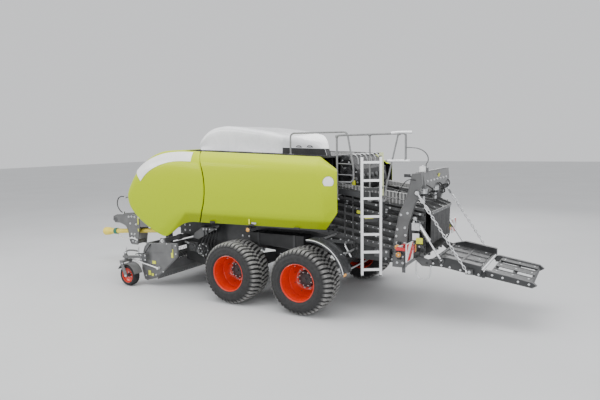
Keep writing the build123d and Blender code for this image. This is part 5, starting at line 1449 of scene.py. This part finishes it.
# rounded noses of the beam, with pipes to the cylinders
for s in (1, -1):
    tf.mat("chassis").lathe(S(-1.60, s * .33, 1.797), (0, 0, 1), [(0, .041), (0, .070), (.008, .074), (.026, .074), (.034, .066), (.034, .0625)], seg=36)
    tf.mat("zinc").lathe(S(-1.60, s * .33, 1.9335), (0, 0, -1), [(0, .090), (.012, .090), (.015, .086), (.015, .063)], seg=36)
    for k in range(6):
        a = math.pi / 3 * k
        tf.bolt(S(-1.60 + .077 * math.cos(a), s * .33 + .077 * math.sin(a), 1.9185), (0, 0, -1), r=.009, h=.007)
    tf.mat("hose").tube([S(-1.665, s * .33, 1.85), S(-1.725, s * .35, 1.86), S(-1.775, s * .42, 1.885), S(-1.785, s * .52, 1.93), S(-1.755, s * .60, 1.97), S(-1.725, s * .62, 1.99)], .010, 8)
    tf.tube([S(-1.665, s * .30, 1.82), S(-1.735, s * .28, 1.80), S(-1.790, s * .20, 1.83), S(-1.795, s * .10, 1.90), S(-1.765, s * .06, 1.96), S(-1.735, s * .05, 1.98)], .010, 8)
    tf.mat("zinc")
    for q2, zz in ((.33, 1.85), (.30, 1.82)):
        tf.cyl(S(-1.655, s * q2, zz), S(-1.685, s * q2, zz), .014, 12)
# small lamps on top of the arm's front
for s in (1, -1):
    tf.mat("hub").box(S(-1.490, s * .772, 2.13), (.09, .03, .045), bevel=.008)
    tf.mat("chassis").box(S(-1.535, s * .765, 2.115), (.05, .02, .02), bevel=.004)
tf.done("chassis", smooth=32)

# ------------------------------------------------------------ chute chains
def torus_link(p, c, along, wide, length=.062, width=.040, r=.0062):
    """One oval chain link about c."""
    pts = []
    hl, hw = length / 2 - r, width / 2 - r
    for k in range(16):
        a = 2 * math.pi * k / 16
        cx2, cy2 = math.cos(a), math.sin(a)
        sx = (1 if cx2 > 0 else -1) * (hl - hw)
        pts.append(c + along * (sx + hw * cx2) + wide * (hw * cy2))
    p.tube(pts, r, 7, smooth=False, closed=True)


cc = Piece("chute_chain_links").mat("zinc")
for s in (1, -1):
    A, B = S(-1.650, s * .815, 1.883), S(-2.384, s * .815, .776)
    d = (B - A).normalized()
    n1 = Vector((0, 1, 0))
    n2 = d.cross(n1).normalized()
    L = (B - A).length
    # upper shackle and long eye
    cc.lathe(A - n1 * .009, n1, [(0, .0175), (0, .030), (.003, .032), (.015, .032), (.018, .030), (.018, .0175)], seg=24, close=True)
    cc.tube([A + d * .028, A + d * .10], .013, 10, smooth=False)
    cc.box(A + d * .13, (.075, .030, .040), x=d, y=n1, bevel=.008)
    # turnbuckle
    cc.tube([A + d * .165, A + d * .30], .008, 10, smooth=False)
    for q2 in (1, -1):
        cc.tube([A + d * .215, A + d * .225 + n2 * (q2 * .016), A + d * .28 + n2 * (q2 * .018), A + d * .335 + n2 * (q2 * .016), A + d * .345], .0068, 8)
    cc.cyl(A + d * .205, A + d * .230, .0145, 14)
    cc.cyl(A + d * .330, A + d * .355, .0145, 14)
    cc.tube([A + d * .345, A + d * .400], .008, 10, smooth=False)
    # links
    t = .415
    k = 0
    while t < L - .085:
        torus_link(cc, A + d * t, d, n1 if k % 2 else n2, length=.066, width=.044, r=.0068)
        t += .0505
        k += 1
    # lower shackle with its bolt
    end = A + d * (t + .0)
    cc.tube([end - d * .012 + n1 * .0, end + n1 * .022 + d * .012, B + n1 * .022 - d * .040, B + n1 * .024 - d * .03], .008, 8)
    cc.tube([end - d * .012 + n1 * .0, end - n1 * .022 + d * .012, B - n1 * .022 - d * .040, B - n1 * .024 - d * .03], .008, 8)
    cc.cyl(B - d * .034 - n1 * .036, B - d * .034 + n1 * .036, .010, 14)
    cc.bolt(B - d * .034 + n1 * .034, n1, r=.014, h=.010, washer=False)
cc.done("chute_chains", smooth=45, replaces="chains", slot="bright_steel")

# fold cylinders: end caps, port blocks, wiper ring
fb = Piece("fold_barrel_detail")
for s in (1, -1):
    A, B = S(-1.60, s * .735, 1.5), S(-1.990, s * .735, .905)
    d = (B - A).normalized()
    fb.mat("zinc").lathe(A + d * .064, d, [(0, .0305), (0, .034), (.004, .036), (.030, .036), (.034, .033), (.034, .0305)], seg=28)
    fb.lathe(A + d * .352, d, [(0, .0305), (0, .033), (.003, .035), (.026, .035), (.030, .031), (.030, .0155)], seg=28)
    fb.mat("hub").box(A + d * .10 + Vector((0, s * .040, 0)), (.04, .024, .030), x=d, y=(0, 1, 0), bevel=.004)
    fb.mat("zinc").cyl(A + Vector((0, s * .0142, 0)), A + Vector((0, s * .0200, 0)), .021, 20)
fb.done("fold_barrels")
fr = Piece("fold_rod_eye")
for s in (1, -1):
    B = S(-1.990, s * .735, .905)
    fr.mat("cast").lathe(B + Vector((0, -.017, 0)), (0, 1, 0), [(0, .0215), (0, .033), (.003, .035), (.031, .035), (.034, .033), (.034, .0215)], seg=28, close=True)
fr.done("fold_rods")

# ------------------------------------------------------------------- chute
ct = math.tan(math.radians(9.5))


def deck_z(x):
    return .892 + ct * (x + 1.88)


cm = Piece("chute_deck")
for s in (1, -1):
    # light edges of the side rails, bolts
    cm.mat("shield")
    cm.tube([S(x, s * .6945, z) for x, z in ((-1.80, .895), (-1.90, .925), (-2.04, .957), (-2.525, .876))], .006, 8, smooth=False)
    cm.mat("zinc")
    for x in (-1.86, -1.98, -2.10, -2.25, -2.50):
        cm.bolt(S(x, s * .6955, .85 + ct * (x + 1.86) * .9), (0, s, 0), r=.011, h=.008)
    cm.mat("cast").lathe(S(-1.775, s * .695, .85), (0, s, 0), [(0, .034), (0, .0)], seg=24)
    cm.mat("cast").box(S(-2.384, s * .755, .790), (.10, .012, .07), bevel=.006)
    cm.mat("zinc").bolt(S(-2.384, s * .761, .790), (0, s, 0), r=.016, h=.012)
# deck plates with long slots between light edges
cm.mat("chassis")
for y0, y1 in ((-.60, -.46), (-.40, -.20), (-.14, .14), (.20, .40), (.46, .60)):
    a, b = S(-1.90, (y0 + y1) / 2, deck_z(-1.90) + .006), S(-2.47, (y0 + y1) / 2, deck_z(-2.47) + .006)
    cm.box((a + b) / 2, ((b - a).length, y1 - y0, .006), x=b - a, y=(0, 1, 0), bevel=.002)
cm.mat("shield")
for y in (-.46, -.40, -.20, -.14, .14, .20, .40, .46):
    a, b = S(-1.90, y, deck_z(-1.90) + .012), S(-2.47, y, deck_z(-2.47) + .012)
    cm.box((a + b) / 2, ((b - a).length, .006, .008), x=b - a, y=(0, 1, 0), bevel=.002)
cm.mat("zinc")
for y in (-.53, 0, .53):
    for x in (-1.95, -2.38):
        cm.bolt(S(x, y, deck_z(x) + .009), (ct, 0, 1), r=.012, h=.006)
# folding hinge bar
cm.mat("alu").tube([S(-2.52, y, .782) for y in (-.57, 0, .57)], .020, 14, smooth=False)
cm.done("chute", smooth=32)

ce = Piece("chute_end_deck")
for s in (1, -1):
    ce.mat("shield").tube([S(x, s * .5715, z) for x, z in ((-2.572, .795), (-3.18, .692), (-3.236, .648), (-3.18, .614))], .006, 8, smooth=False)
    ce.mat("zinc")
    for x in (-2.66, -2.80, -3.0, -3.14):
        ce.bolt(S(x, s * .5705, .745 + ct * (x + 2.60) * .95), (0, s, 0), r=.011, h=.008)
for y0, y1 in ((-.50, -.30), (-.12, .12), (.30, .50)):
    a, b = S(-2.64, (y0 + y1) / 2, .770), S(-3.17, (y0 + y1) / 2, .770 - ct * .53)
    ce.mat("chassis").box((a + b) / 2, ((b - a).length, y1 - y0, .006), x=b - a, y=(0, 1, 0), bevel=.002)
    for y in (y0, y1):
        a2, b2 = a.copy(), b.copy()
        a2.y = b2.y = y
        ce.mat("shield").box((a2 + b2) / 2 + Vector((0, 0, .006)), ((b - a).length, .006, .008), x=b - a, y=(0, 1, 0), bevel=.002)
    ce.mat("zinc")
    for f in (.1, .5, .9):
        ce.bolt(lerp(a, b, f) + Vector((0, 0, .003)), (ct, 0, 1), r=.012, h=.006)
ce.done("chute_end", smooth=32)

# ------------------------------------------------------- ladder and rails
la = Vector((-.990, 1.27, 0))
LW = .262
ld = Vector((-.868, -.496, 0))
ln = Vector((-.496, .868, 0))
lp = Piece("ladder_detail")
for k in (0, 1):
    c = la + ld * (LW * k)
    lp.mat("alu")
    # lips that make the stiles read as channels
    for q2 in (1, -1):
        e = c + ld * ((1 if k else -1) * .0155) + ln * (q2 * .027)
        lp.box(S(e.x, e.y, 1.565), (.005, .009, 1.724), x=(ld.x, ld.y, 0), y=(ln.x, ln.y, 0), bevel=.0012)
    lp.mat("hose")
    for z in (.706, 2.424):
        lp.box(S(c.x, c.y, z), (.032, .066, .016), x=(ld.x, ld.y, 0), y=(ln.x, ln.y, 0), bevel=.004)
    lp.mat("zinc")
    for i in range(7):
        z = .79 + .258 * i
        e = c + ld * ((1 if k else -1) * .0142)
        lp.bolt(S(e.x, e.y, z), (ld.x * (1 if k else -1), ld.y * (1 if k else -1), 0), r=.007, h=.004, washer=False)
for i in range(7):
    z = .79 + .258 * i
    for j in range(-2, 3):
        a = la + ld * .018 + ln * (j * .007)
        b = la + ld * (LW - .018) + ln * (j * .007)
        lp.mat("alu").box(S((a.x + b.x) / 2, (a.y + b.y) / 2, z + .0158), ((b - a).length, .0026, .0022), x=(ld.x, ld.y, 0), y=(ln.x, ln.y, 0), bevel=.0006)
lp.done("access_ladder", smooth=30)

lm = Piece("ladder_mount_detail")
# pale board that stands behind the ladder's rear stile
b0 = la + ld * (LW + .030) + ln * -.100
lm.mat("pale_green").box(S(b0.x, b0.y, 2.165), (.060, .012, .62), x=(ld.x, ld.y, 0), y=(ln.x, ln.y, 0), bevel=.003)
lm.mat("chassis")
for z in (1.50, 1.95):
    for f in (.02, LW - .02):
        c = la + ld * f + ln * -.062
        lm.box(S(c.x, c.y, z), (.050, .048, .050), x=(ld.x, ld.y, 0), y=(ln.x, ln.y, 0), bevel=.005)
    b1 = la + ld * (LW + .020) + ln * -.085
    lm.box(S(b1.x, b1.y, z + .02), (.060, .030, .030), x=(ld.x, ld.y, 0), y=(ln.x, ln.y, 0), bevel=.004)
lm.box(S(b0.x + .01, b0.y, 1.90), (.02, .02, .22), bevel=.004)
lm.done("chassis")

hr = Piece("handrail_detail").mat("alu")
# bright end pieces of the upper rail, and of the middle rail
hr.tube([S(-1.33, 1.0, 2.745), S(-1.44, 1.0, 2.752), S(-1.56, 1.0, 2.753), S(-1.63, 1.0, 2.750)], .021, 12)
hr.tube([S(-1.27, 1.0, 2.352), S(-1.42, 1.0, 2.353), S(-1.60, 1.0, 2.354)], .0185, 12)
hr.mat("rail")
for x, z in ((-.47, 1.765), (-1.0, 1.765), (-1.20, 1.765), (-.47, 2.0)):
    hr.box(S(x, 1.0, z), (.06, .05, .012), bevel=.003)
for x, z in ((-.47, 2.715), (-1.0, 2.728), (-1.44, 2.733), (-.47, 1.83), (-1.0, 1.80), (-1.205, 1.785)):
    hr.lathe(S(x, 1.0, z) - Vector((.018, 0, 0)), (1, 0, 0), [(0, .0165), (0, .021), (.003, .0225), (.033, .0225), (.036, .021), (.036, .0165)], seg=20)
# wire mesh panel between the posts, clamps and folded toe board
hr.mat("chassis")
hr.side([(-.475, 1.84), (-.475, 1.93), (-1.0, 1.89), (-1.20, 1.87), (-1.20, 1.79), (-1.0, 1.80)], .965, .005, .001)
hr.mat("rail")
for k in range(4):
    z = 1.98 + .165 * k
    hr.tube([S(-.470, 1.0, z), S(-.735, 1.0, z - .01)], .007, 8, smooth=False)
hr.mat("zinc")
for x, z in ((-.47, 1.77), (-1.0, 1.77), (-1.20, 1.77)):
    for dx in (-.02, .02):
        hr.bolt(S(x + dx, 1.0, z + .006), (0, 0, 1), r=.007, h=.005)
# roof foot of the bow
hr.box(S(.34, 1.0, roof_h(.34) + .006), (.08, .08, .010), bevel=.003)
hr.done("chassis", smooth=35)

# --------------------------------------------------- mudguards and lamps
fg = Piece("mudguard_shells")
for s in (1, -1):
    prof = []
    # circle through the three points of the side view
    (x1, z1), (x2, z2), (x3, z3) = (-.170, 1.195), (-.560, 1.075), (-.775, .730)
    dd = 2 * (x1 * (z2 - z3) + x2 * (z3 - z1) + x3 * (z1 - z2))
    ux = ((x1 ** 2 + z1 ** 2) * (z2 - z3) + (x2 ** 2 + z2 ** 2) * (z3 - z1) + (x3 ** 2 + z3 ** 2) * (z1 - z2)) / dd
    uz = ((x1 ** 2 + z1 ** 2) * (x3 - x2) + (x2 ** 2 + z2 ** 2) * (x1 - x3) + (x3 ** 2 + z3 ** 2) * (x2 - x1)) / dd
    rad = math.hypot(x1 - ux, z1 - uz)
    a1, a3 = math.atan2(z1 - uz, x1 - ux), math.atan2(z3 - uz, x3 - ux)
    sect = [(-.150, -.030), (-.150, -.004), (-.143, .001), (-.10, .002), (-.095, .0055), (-.085, .0055), (-.08, .002), (.08, .002), (.085, .0055), (.095, .0055), (.10, .002), (.143, .001), (.150, -.004), (.150, -.030),
            (.146, -.030), (.145, -.008), (.140, -.006), (-.140, -.006), (-.145, -.008), (-.146, -.030)]
    rows = []
    for j in range(41):
        a = a1 + (a3 - a1) * j / 40
        rr = [S(ux + (rad + h) * math.cos(a), s * (1.310 + w), uz + (rad + h) * math.sin(a)) for w, h in sect]
        rows.append(rr)
    fg.mat("hub").grid(rows, close=True)
    fg.poly(rows[0], [tuple(range(len(sect)))])
    fg.poly(rows[-1], [tuple(reversed(range(len(sect))))])
    # pale outer edge
    fg.mat("alu").tube([S(ux + (rad + .0) * math.cos(a1 + (a3 - a1) * j / 20), s * 1.4595, uz + rad * math.sin(a1 + (a3 - a1) * j / 20)) for j in range(21)], .006, 8)
    fg.mat("rail")
    for ax, az in ((-.300, 1.172), (-.660, .972)):
        fg.cyl(S(ax, s * .702, az), S(ax, s * 1.16, az), .0162, 16)
        fg.box(S(ax, s * 1.235, az - .006), (.06, .16, .010), x=(1, 0, .3 if ax > -.5 else 1.1), y=(0, 1, 0), bevel=.003)
        fg.mat("zinc")
        for dy in (-.05, .05):
            fg.bolt(S(ax, s * (1.235 + dy), az + .010), (0, 0, 1), r=.009, h=.007)
        fg.mat("rail")
    fg.mat("amber").lathe(S(-.770, s * 1.40, .716), (-.75, s * .35, -.3), [(0, .030), (.008, .030), (.014, .024), (.018, .012), (.019, 0)], seg=28)
    fg.mat("chassis").lathe(S(-.770, s * 1.40, .716), (-.75, s * .35, -.3), [(-.012, 0), (-.012, .034), (.008, .034), (.009, .030), (.0, .030)], seg=28)
fg.done("chassis", smooth=35, replaces="fenders", slot="bright_steel")

# bright bent levers and couplings that show over the rear wheel
lv = Piece("steering_lock_levers")
for s in (1, -1):
    lv.mat("zinc")
    lv.tube([S(-.235, s * .74, 1.045), S(-.255, s * .86, 1.025), S(-.375, s * .90, .955), S(-.440, s * .90, .860), S(-.494, s * .90, .776)], .017, 10)
    lv.tube([S(-.510, s * .74, 1.075), S(-.530, s * .86, 1.048), S(-.590, s * .90, .970), S(-.647, s * .90, .870)], .014, 10)
    lv.mat("cast").box(S(-.40, s * .735, 1.070), (.46, .09, .05), bevel=.010)
    for x in (-.24, -.40, -.54):
        lv.mat("zinc").bolt(S(x, s * .745, 1.095), (0, 0, 1), r=.012, h=.010)
    lv.mat("hose")
    for k in range(3):
        lv.tube([S(-.60 - .05 * k, s * .80, 1.06), S(-.64 - .05 * k, s * .84, .98), S(-.55 - .05 * k, s * .82, .86), S(-.40 - .04 * k, s * .74, .84), S(-.30, s * .66, .88)], .010, 8)
    lv.mat("cast").box(S(-1.10, s * .72, .945), (.24, .10, .12), bevel=.012)
    lv.mat("zinc")
    for x in (-1.17, -1.03):
        lv.bolt(S(x, s * .771, .97), (0, s, 0), r=.012, h=.009)
lv.done("chassis", smooth=32)

lb = Piece("rear_lamps_boards")
for s in (1, -1):
    for x, z in ((-1.375, 1.078), (-1.392, .968)):
        p0 = S(x, s * .862, z)
        lb.mat("chassis").box(S(x, s * .845, z), (.085, .030, .085), bevel=.008)
        lb.mat("amber").lathe(p0, (-.25, s, 0), [(0, .039), (.006, .039), (.013, .032), (.017, .018), (.018, 0)], seg=32)
        lb.mat("rail").lathe(p0, (-.25, s, 0), [(0, .045), (.006, .045), (.008, .040), (.004, .039)], seg=32)
        lb.mat("zinc").lathe(p0 + Vector((-.004, s * .0155, 0)), (-.25, s, 0), [(0, .010), (.004, .008), (.004, 0)], seg=16)
    lb.mat("chassis").box(S(-1.385, s * .812, 1.02), (.05, .050, .26), bevel=.005)
    # lamp cluster beside the board
    lb.mat("hub").box(S(-1.655, s * 1.045, 1.120), (.060, .150, .13), bevel=.012)
    lb.mat("lamp_red").box(S(-1.689, s * 1.072, 1.120), (.012, .080, .105), bevel=.004)
    lb.mat("amber").box(S(-1.689, s * 1.002, 1.120), (.012, .045, .105), bevel=.004)
    lb.mat("chassis").box(S(-1.60, s * 1.10, 1.120), (.06, .06, .05), bevel=.004)
    # frame of the board
    for zz in (-.121, .121):
        lb.mat("alu").box(S(-1.690, s * 1.27, 1.12 + zz), (.014, .284, .006), bevel=.0015)
    for yy in (-.141, .141):
        lb.mat("alu").box(S(-1.690, s * (1.27 + yy), 1.12), (.014, .006, .248), bevel=.0015)
    lb.mat("chassis").tube([S(-1.485, s * .84, .995), S(-1.50, s * .90, .93), S(-1.505, s * .91, .86), S(-1.49, s * .91, .80)], .012, 8)
    # under the lamps: hanging steel tongue
    lb.mat("cast").box(S(-1.49, s * .91, .77), (.05, .012, .10), bevel=.004)
lb.done("chassis", smooth=32)

# ------------------------------------------------------- twine magazines
tw = Piece("twine_balls")
for s in (1, -1):
    for r_i, row_z in enumerate((1.665, 2.095)):
        for k in range(4):
            cx = .79 - .7275 + .485 * k
            tw.mat("twine_a" if (k + r_i) % 2 else "twine_b")
            pr = [(-.165, .038), (-.172, .060), (-.170, .105), (-.155, .125)] + [(-.15 + .0125 * j, .1290 + (.0022 if j % 2 else 0)) for j in range(25)] + [(.155, .125), (.170, .105), (.172, .060), (.165, .038), (.12, .034), (-.12, .034)]
            for q2 in (-1, 1):
                tw.lathe(S(cx + q2 * .115 * 0, s * .962, row_z - .058 + .0), (0, 1, 0), [(t, r_ * 1.0) for t, r_ in pr], seg=32, close=True)
                break
tw.done("chassis", smooth=50)
tb = Piece("magazine_trim").mat("rail")
for s in (1, -1):
    for row_z in (1.665, 2.095):
        tb.tube([S(x, s * 1.128, row_z - .13) for x in (-.17, .79, 1.75)], .008, 8, smooth=False)
    for x in (-.19, .2975, .79, 1.2825, 1.77):
        tb.box(S(x, s * 1.1305, 1.88), (.024, .006, .89), bevel=.002)
    # gas struts of the doors, folded flat beside the boxes
    tb.mat("zinc").cyl(S(1.86, s * 1.00, 1.62), S(1.86, s * 1.02, 2.05), .011, 12)
    tb.mat("hub").cyl(S(1.86, s * 1.02, 2.05), S(1.86, s * 1.04, 2.36), .016, 12)
    tb.mat("rail")
tb.done("chassis", smooth=35)

# flywheel and gearbox dress-up under the hood
fw = Piece("drive_detail")
fw.mat("cast").lathe(S(3.17, 0, 1.56), (1, 0, 0), [(0, .425), (.012, .420), (.012, .350), (.004, .340), (.004, .150), (.020, .140), (.040, .115), (.040, .055)], seg=64)
fw.mat("zinc")
for k in range(12):
    a = math.pi / 6 * k
    fw.bolt(S(3.182, .385 * math.cos(a), 1.56 + .385 * math.sin(a)), (1, 0, 0), r=.016, h=.012)
fw.mat("cast")
for s in (1, -1):
    for k in range(7):
        fw.box(S(2.32 + .08 * k, s * .326, 1.58), (.014, .012, .58), bevel=.004)
fw.mat("hose")
for k in range(4):
    fw.tube([S(2.40 + .1 * k, .20, 1.905), S(2.40 + .1 * k, .26, 2.02), S(2.42 + .1 * k, .42, 2.06), S(2.36 + .1 * k, .56, 1.98), S(2.30 + .1 * k, .62, 1.80)], .012, 8)
fw.mat("hub").box(S(2.56, -.05, 1.955), (.26, .24, .11), bevel=.02)
fw.mat("zinc").cyl(S(2.56, -.05, 2.01), S(2.56, -.05, 2.06), .04, 24)
fw.done("chassis", smooth=32)

# jack: crank, pin and foot edge
jk = Piece("jack_detail").mat("zinc")
jk.tube([S(4.25, -.29, 1.121), S(4.25, -.29, 1.165), S(4.27, -.29, 1.185), S(4.37, -.29, 1.185), S(4.39, -.29, 1.205), S(4.39, -.29, 1.275)], .011, 10)
jk.mat("hose").cyl(S(4.39, -.29, 1.215), S(4.39, -.29, 1.300), .018, 16)
jk.mat("zinc")
for z in (.90, 1.02):
    jk.bolt(S(4.306, -.29, z), (1, 0, 0), r=.014, h=.010)
    jk.bolt(S(4.20, -.191, z), (0, 1, 0), r=.012, h=.010)
jk.done("chassis")
jf = Piece("jack_foot_detail").mat("zinc")
for dx in (-.09, .09):
    for dy in (-.09, .09):
        jf.bolt(S(4.25 + dx, -.29 + dy, .016), (0, 0, 1), r=.012, h=.008)
jf.mat("chassis").lathe(S(4.25, -.29, .016), (0, 0, 1), [(0, .10), (.010, .098), (.040, .060), (.041, .0)], seg=32)
jf.done("jack")


# held hoses and cables: smooth lines through the routes
held = (
    ("front_hose", .024, "hose", ((5.243, 0, 1.491), (5.310, .003, 1.503), (5.372, .010, 1.500), (5.425, .022, 1.475), (5.448, .040, 1.420), (5.447, .058, 1.355),
                          (5.412, .080, 1.282), (5.330, .104, 1.212), (5.268, .120, 1.178), (5.228, .125, 1.167), (5.1915, .125, 1.166))),
    ("rail_cable", .018, "rail", ((-1.557, 1.000, 2.541), (-1.620, .988, 2.541), (-1.685, .955, 2.531), (-1.745, .905, 2.505), (-1.785, .835, 2.455),
                         (-1.790, .750, 2.395), (-1.760, .650, 2.335), (-1.706, .545, 2.300), (-1.684, .494, 2.268), (-1.683, .490, 2.2375))),
    ("beam_cable", .012, "hose", ((-1.615, .786, 2.065), (-1.612, .803, 2.067), (-1.590, .824, 2.078), (-1.545, .845, 2.080), (-1.490, .850, 2.052), (-1.440, .845, 1.985), (-1.395, .828, 1.915),
                         (-1.358, .790, 1.862), (-1.335, .735, 1.830), (-1.328, .690, 1.812), (-1.326, .680, 1.7685))),
)
for name, dia, key, route in held:
    if name not in NODES:
        continue
    cd = bpy.data.curves.new(name + "_line", "CURVE")
    cd.dimensions = "3D"
    cd.bevel_depth = dia / 2
    cd.bevel_resolution = 4
    cd.use_fill_caps = True
    cd.resolution_u = 10
    sp = cd.splines.new("NURBS")
    sp.points.add(len(route) - 1)
    for pt, q2 in zip(sp.points, route):
        pt.co = (*S(*q2), 1)
    sp.order_u = 3
    sp.use_endpoint_u = True
    cd.materials.append(M[key])
    o = bpy.data.objects.new(name + "_line", cd)
    bpy.context.scene.collection.objects.link(o)
    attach(o, "chassis")
    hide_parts(name)
    pts = [S(*q2) for q2 in route]

#--LIGHTS--
# ------------------------------------------------------------ floor, lights
floor_mesh = bpy.data.meshes.new("floor")
R = 60.0
floor_mesh.from_pydata([(-R, -R, 0), (R, -R, 0), (R, R, 0), (-R, R, 0)], [], [(0, 1, 2, 3)])
ft = Mat("floor_paint")
ft.set(Base_Color=ft.ramp(ft.noise(.4, 3), ((.3, (.60, .605, .61)), (.7, (.64, .645, .65)))), Roughness=.75)
floor_mesh.materials.append(ft.m)
floor = bpy.data.objects.new("floor", floor_mesh)
floor.location.z = -.001
bpy.context.scene.collection.objects.link(floor)
floor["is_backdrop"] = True


def area(name, loc, target, size, power, colour=(1, 1, 1)):
    d = bpy.data.lights.new(name, "AREA")
    d.shape = "RECTANGLE"
    d.size, d.size_y = size
    d.energy = power
    d.color = colour
    o = bpy.data.objects.new(name, d)
    bpy.context.scene.collection.objects.link(o)
    o.location = loc
    o.rotation_euler = (Vector(target) - Vector(loc)).to_track_quat("-Z", "Y").to_euler()
    return o


area("overhead", (-1.0, 2.0, 9.5), (0, 0, 1.2), (11, 6), 900)
area("front_left", (9.0, 9.5, 6.0), (0.5, 0, 1.4), (6, 4), 620)
area("rear_left", (-9.0, 9.0, 5.0), (-1, 0, 1.2), (5, 4), 420)
area("far_side", (0.0, -11, 6.0), (0, 0, 1.2), (9, 4), 320)

world = bpy.data.worlds.new("studio")
world.use_nodes = True
world.node_tree.nodes["Background"].inputs["Color"].default_value = (.93, .94, .96, 1)
world.node_tree.nodes["Background"].inputs["Strength"].default_value = .95
bpy.context.scene.world = world

lo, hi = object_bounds()
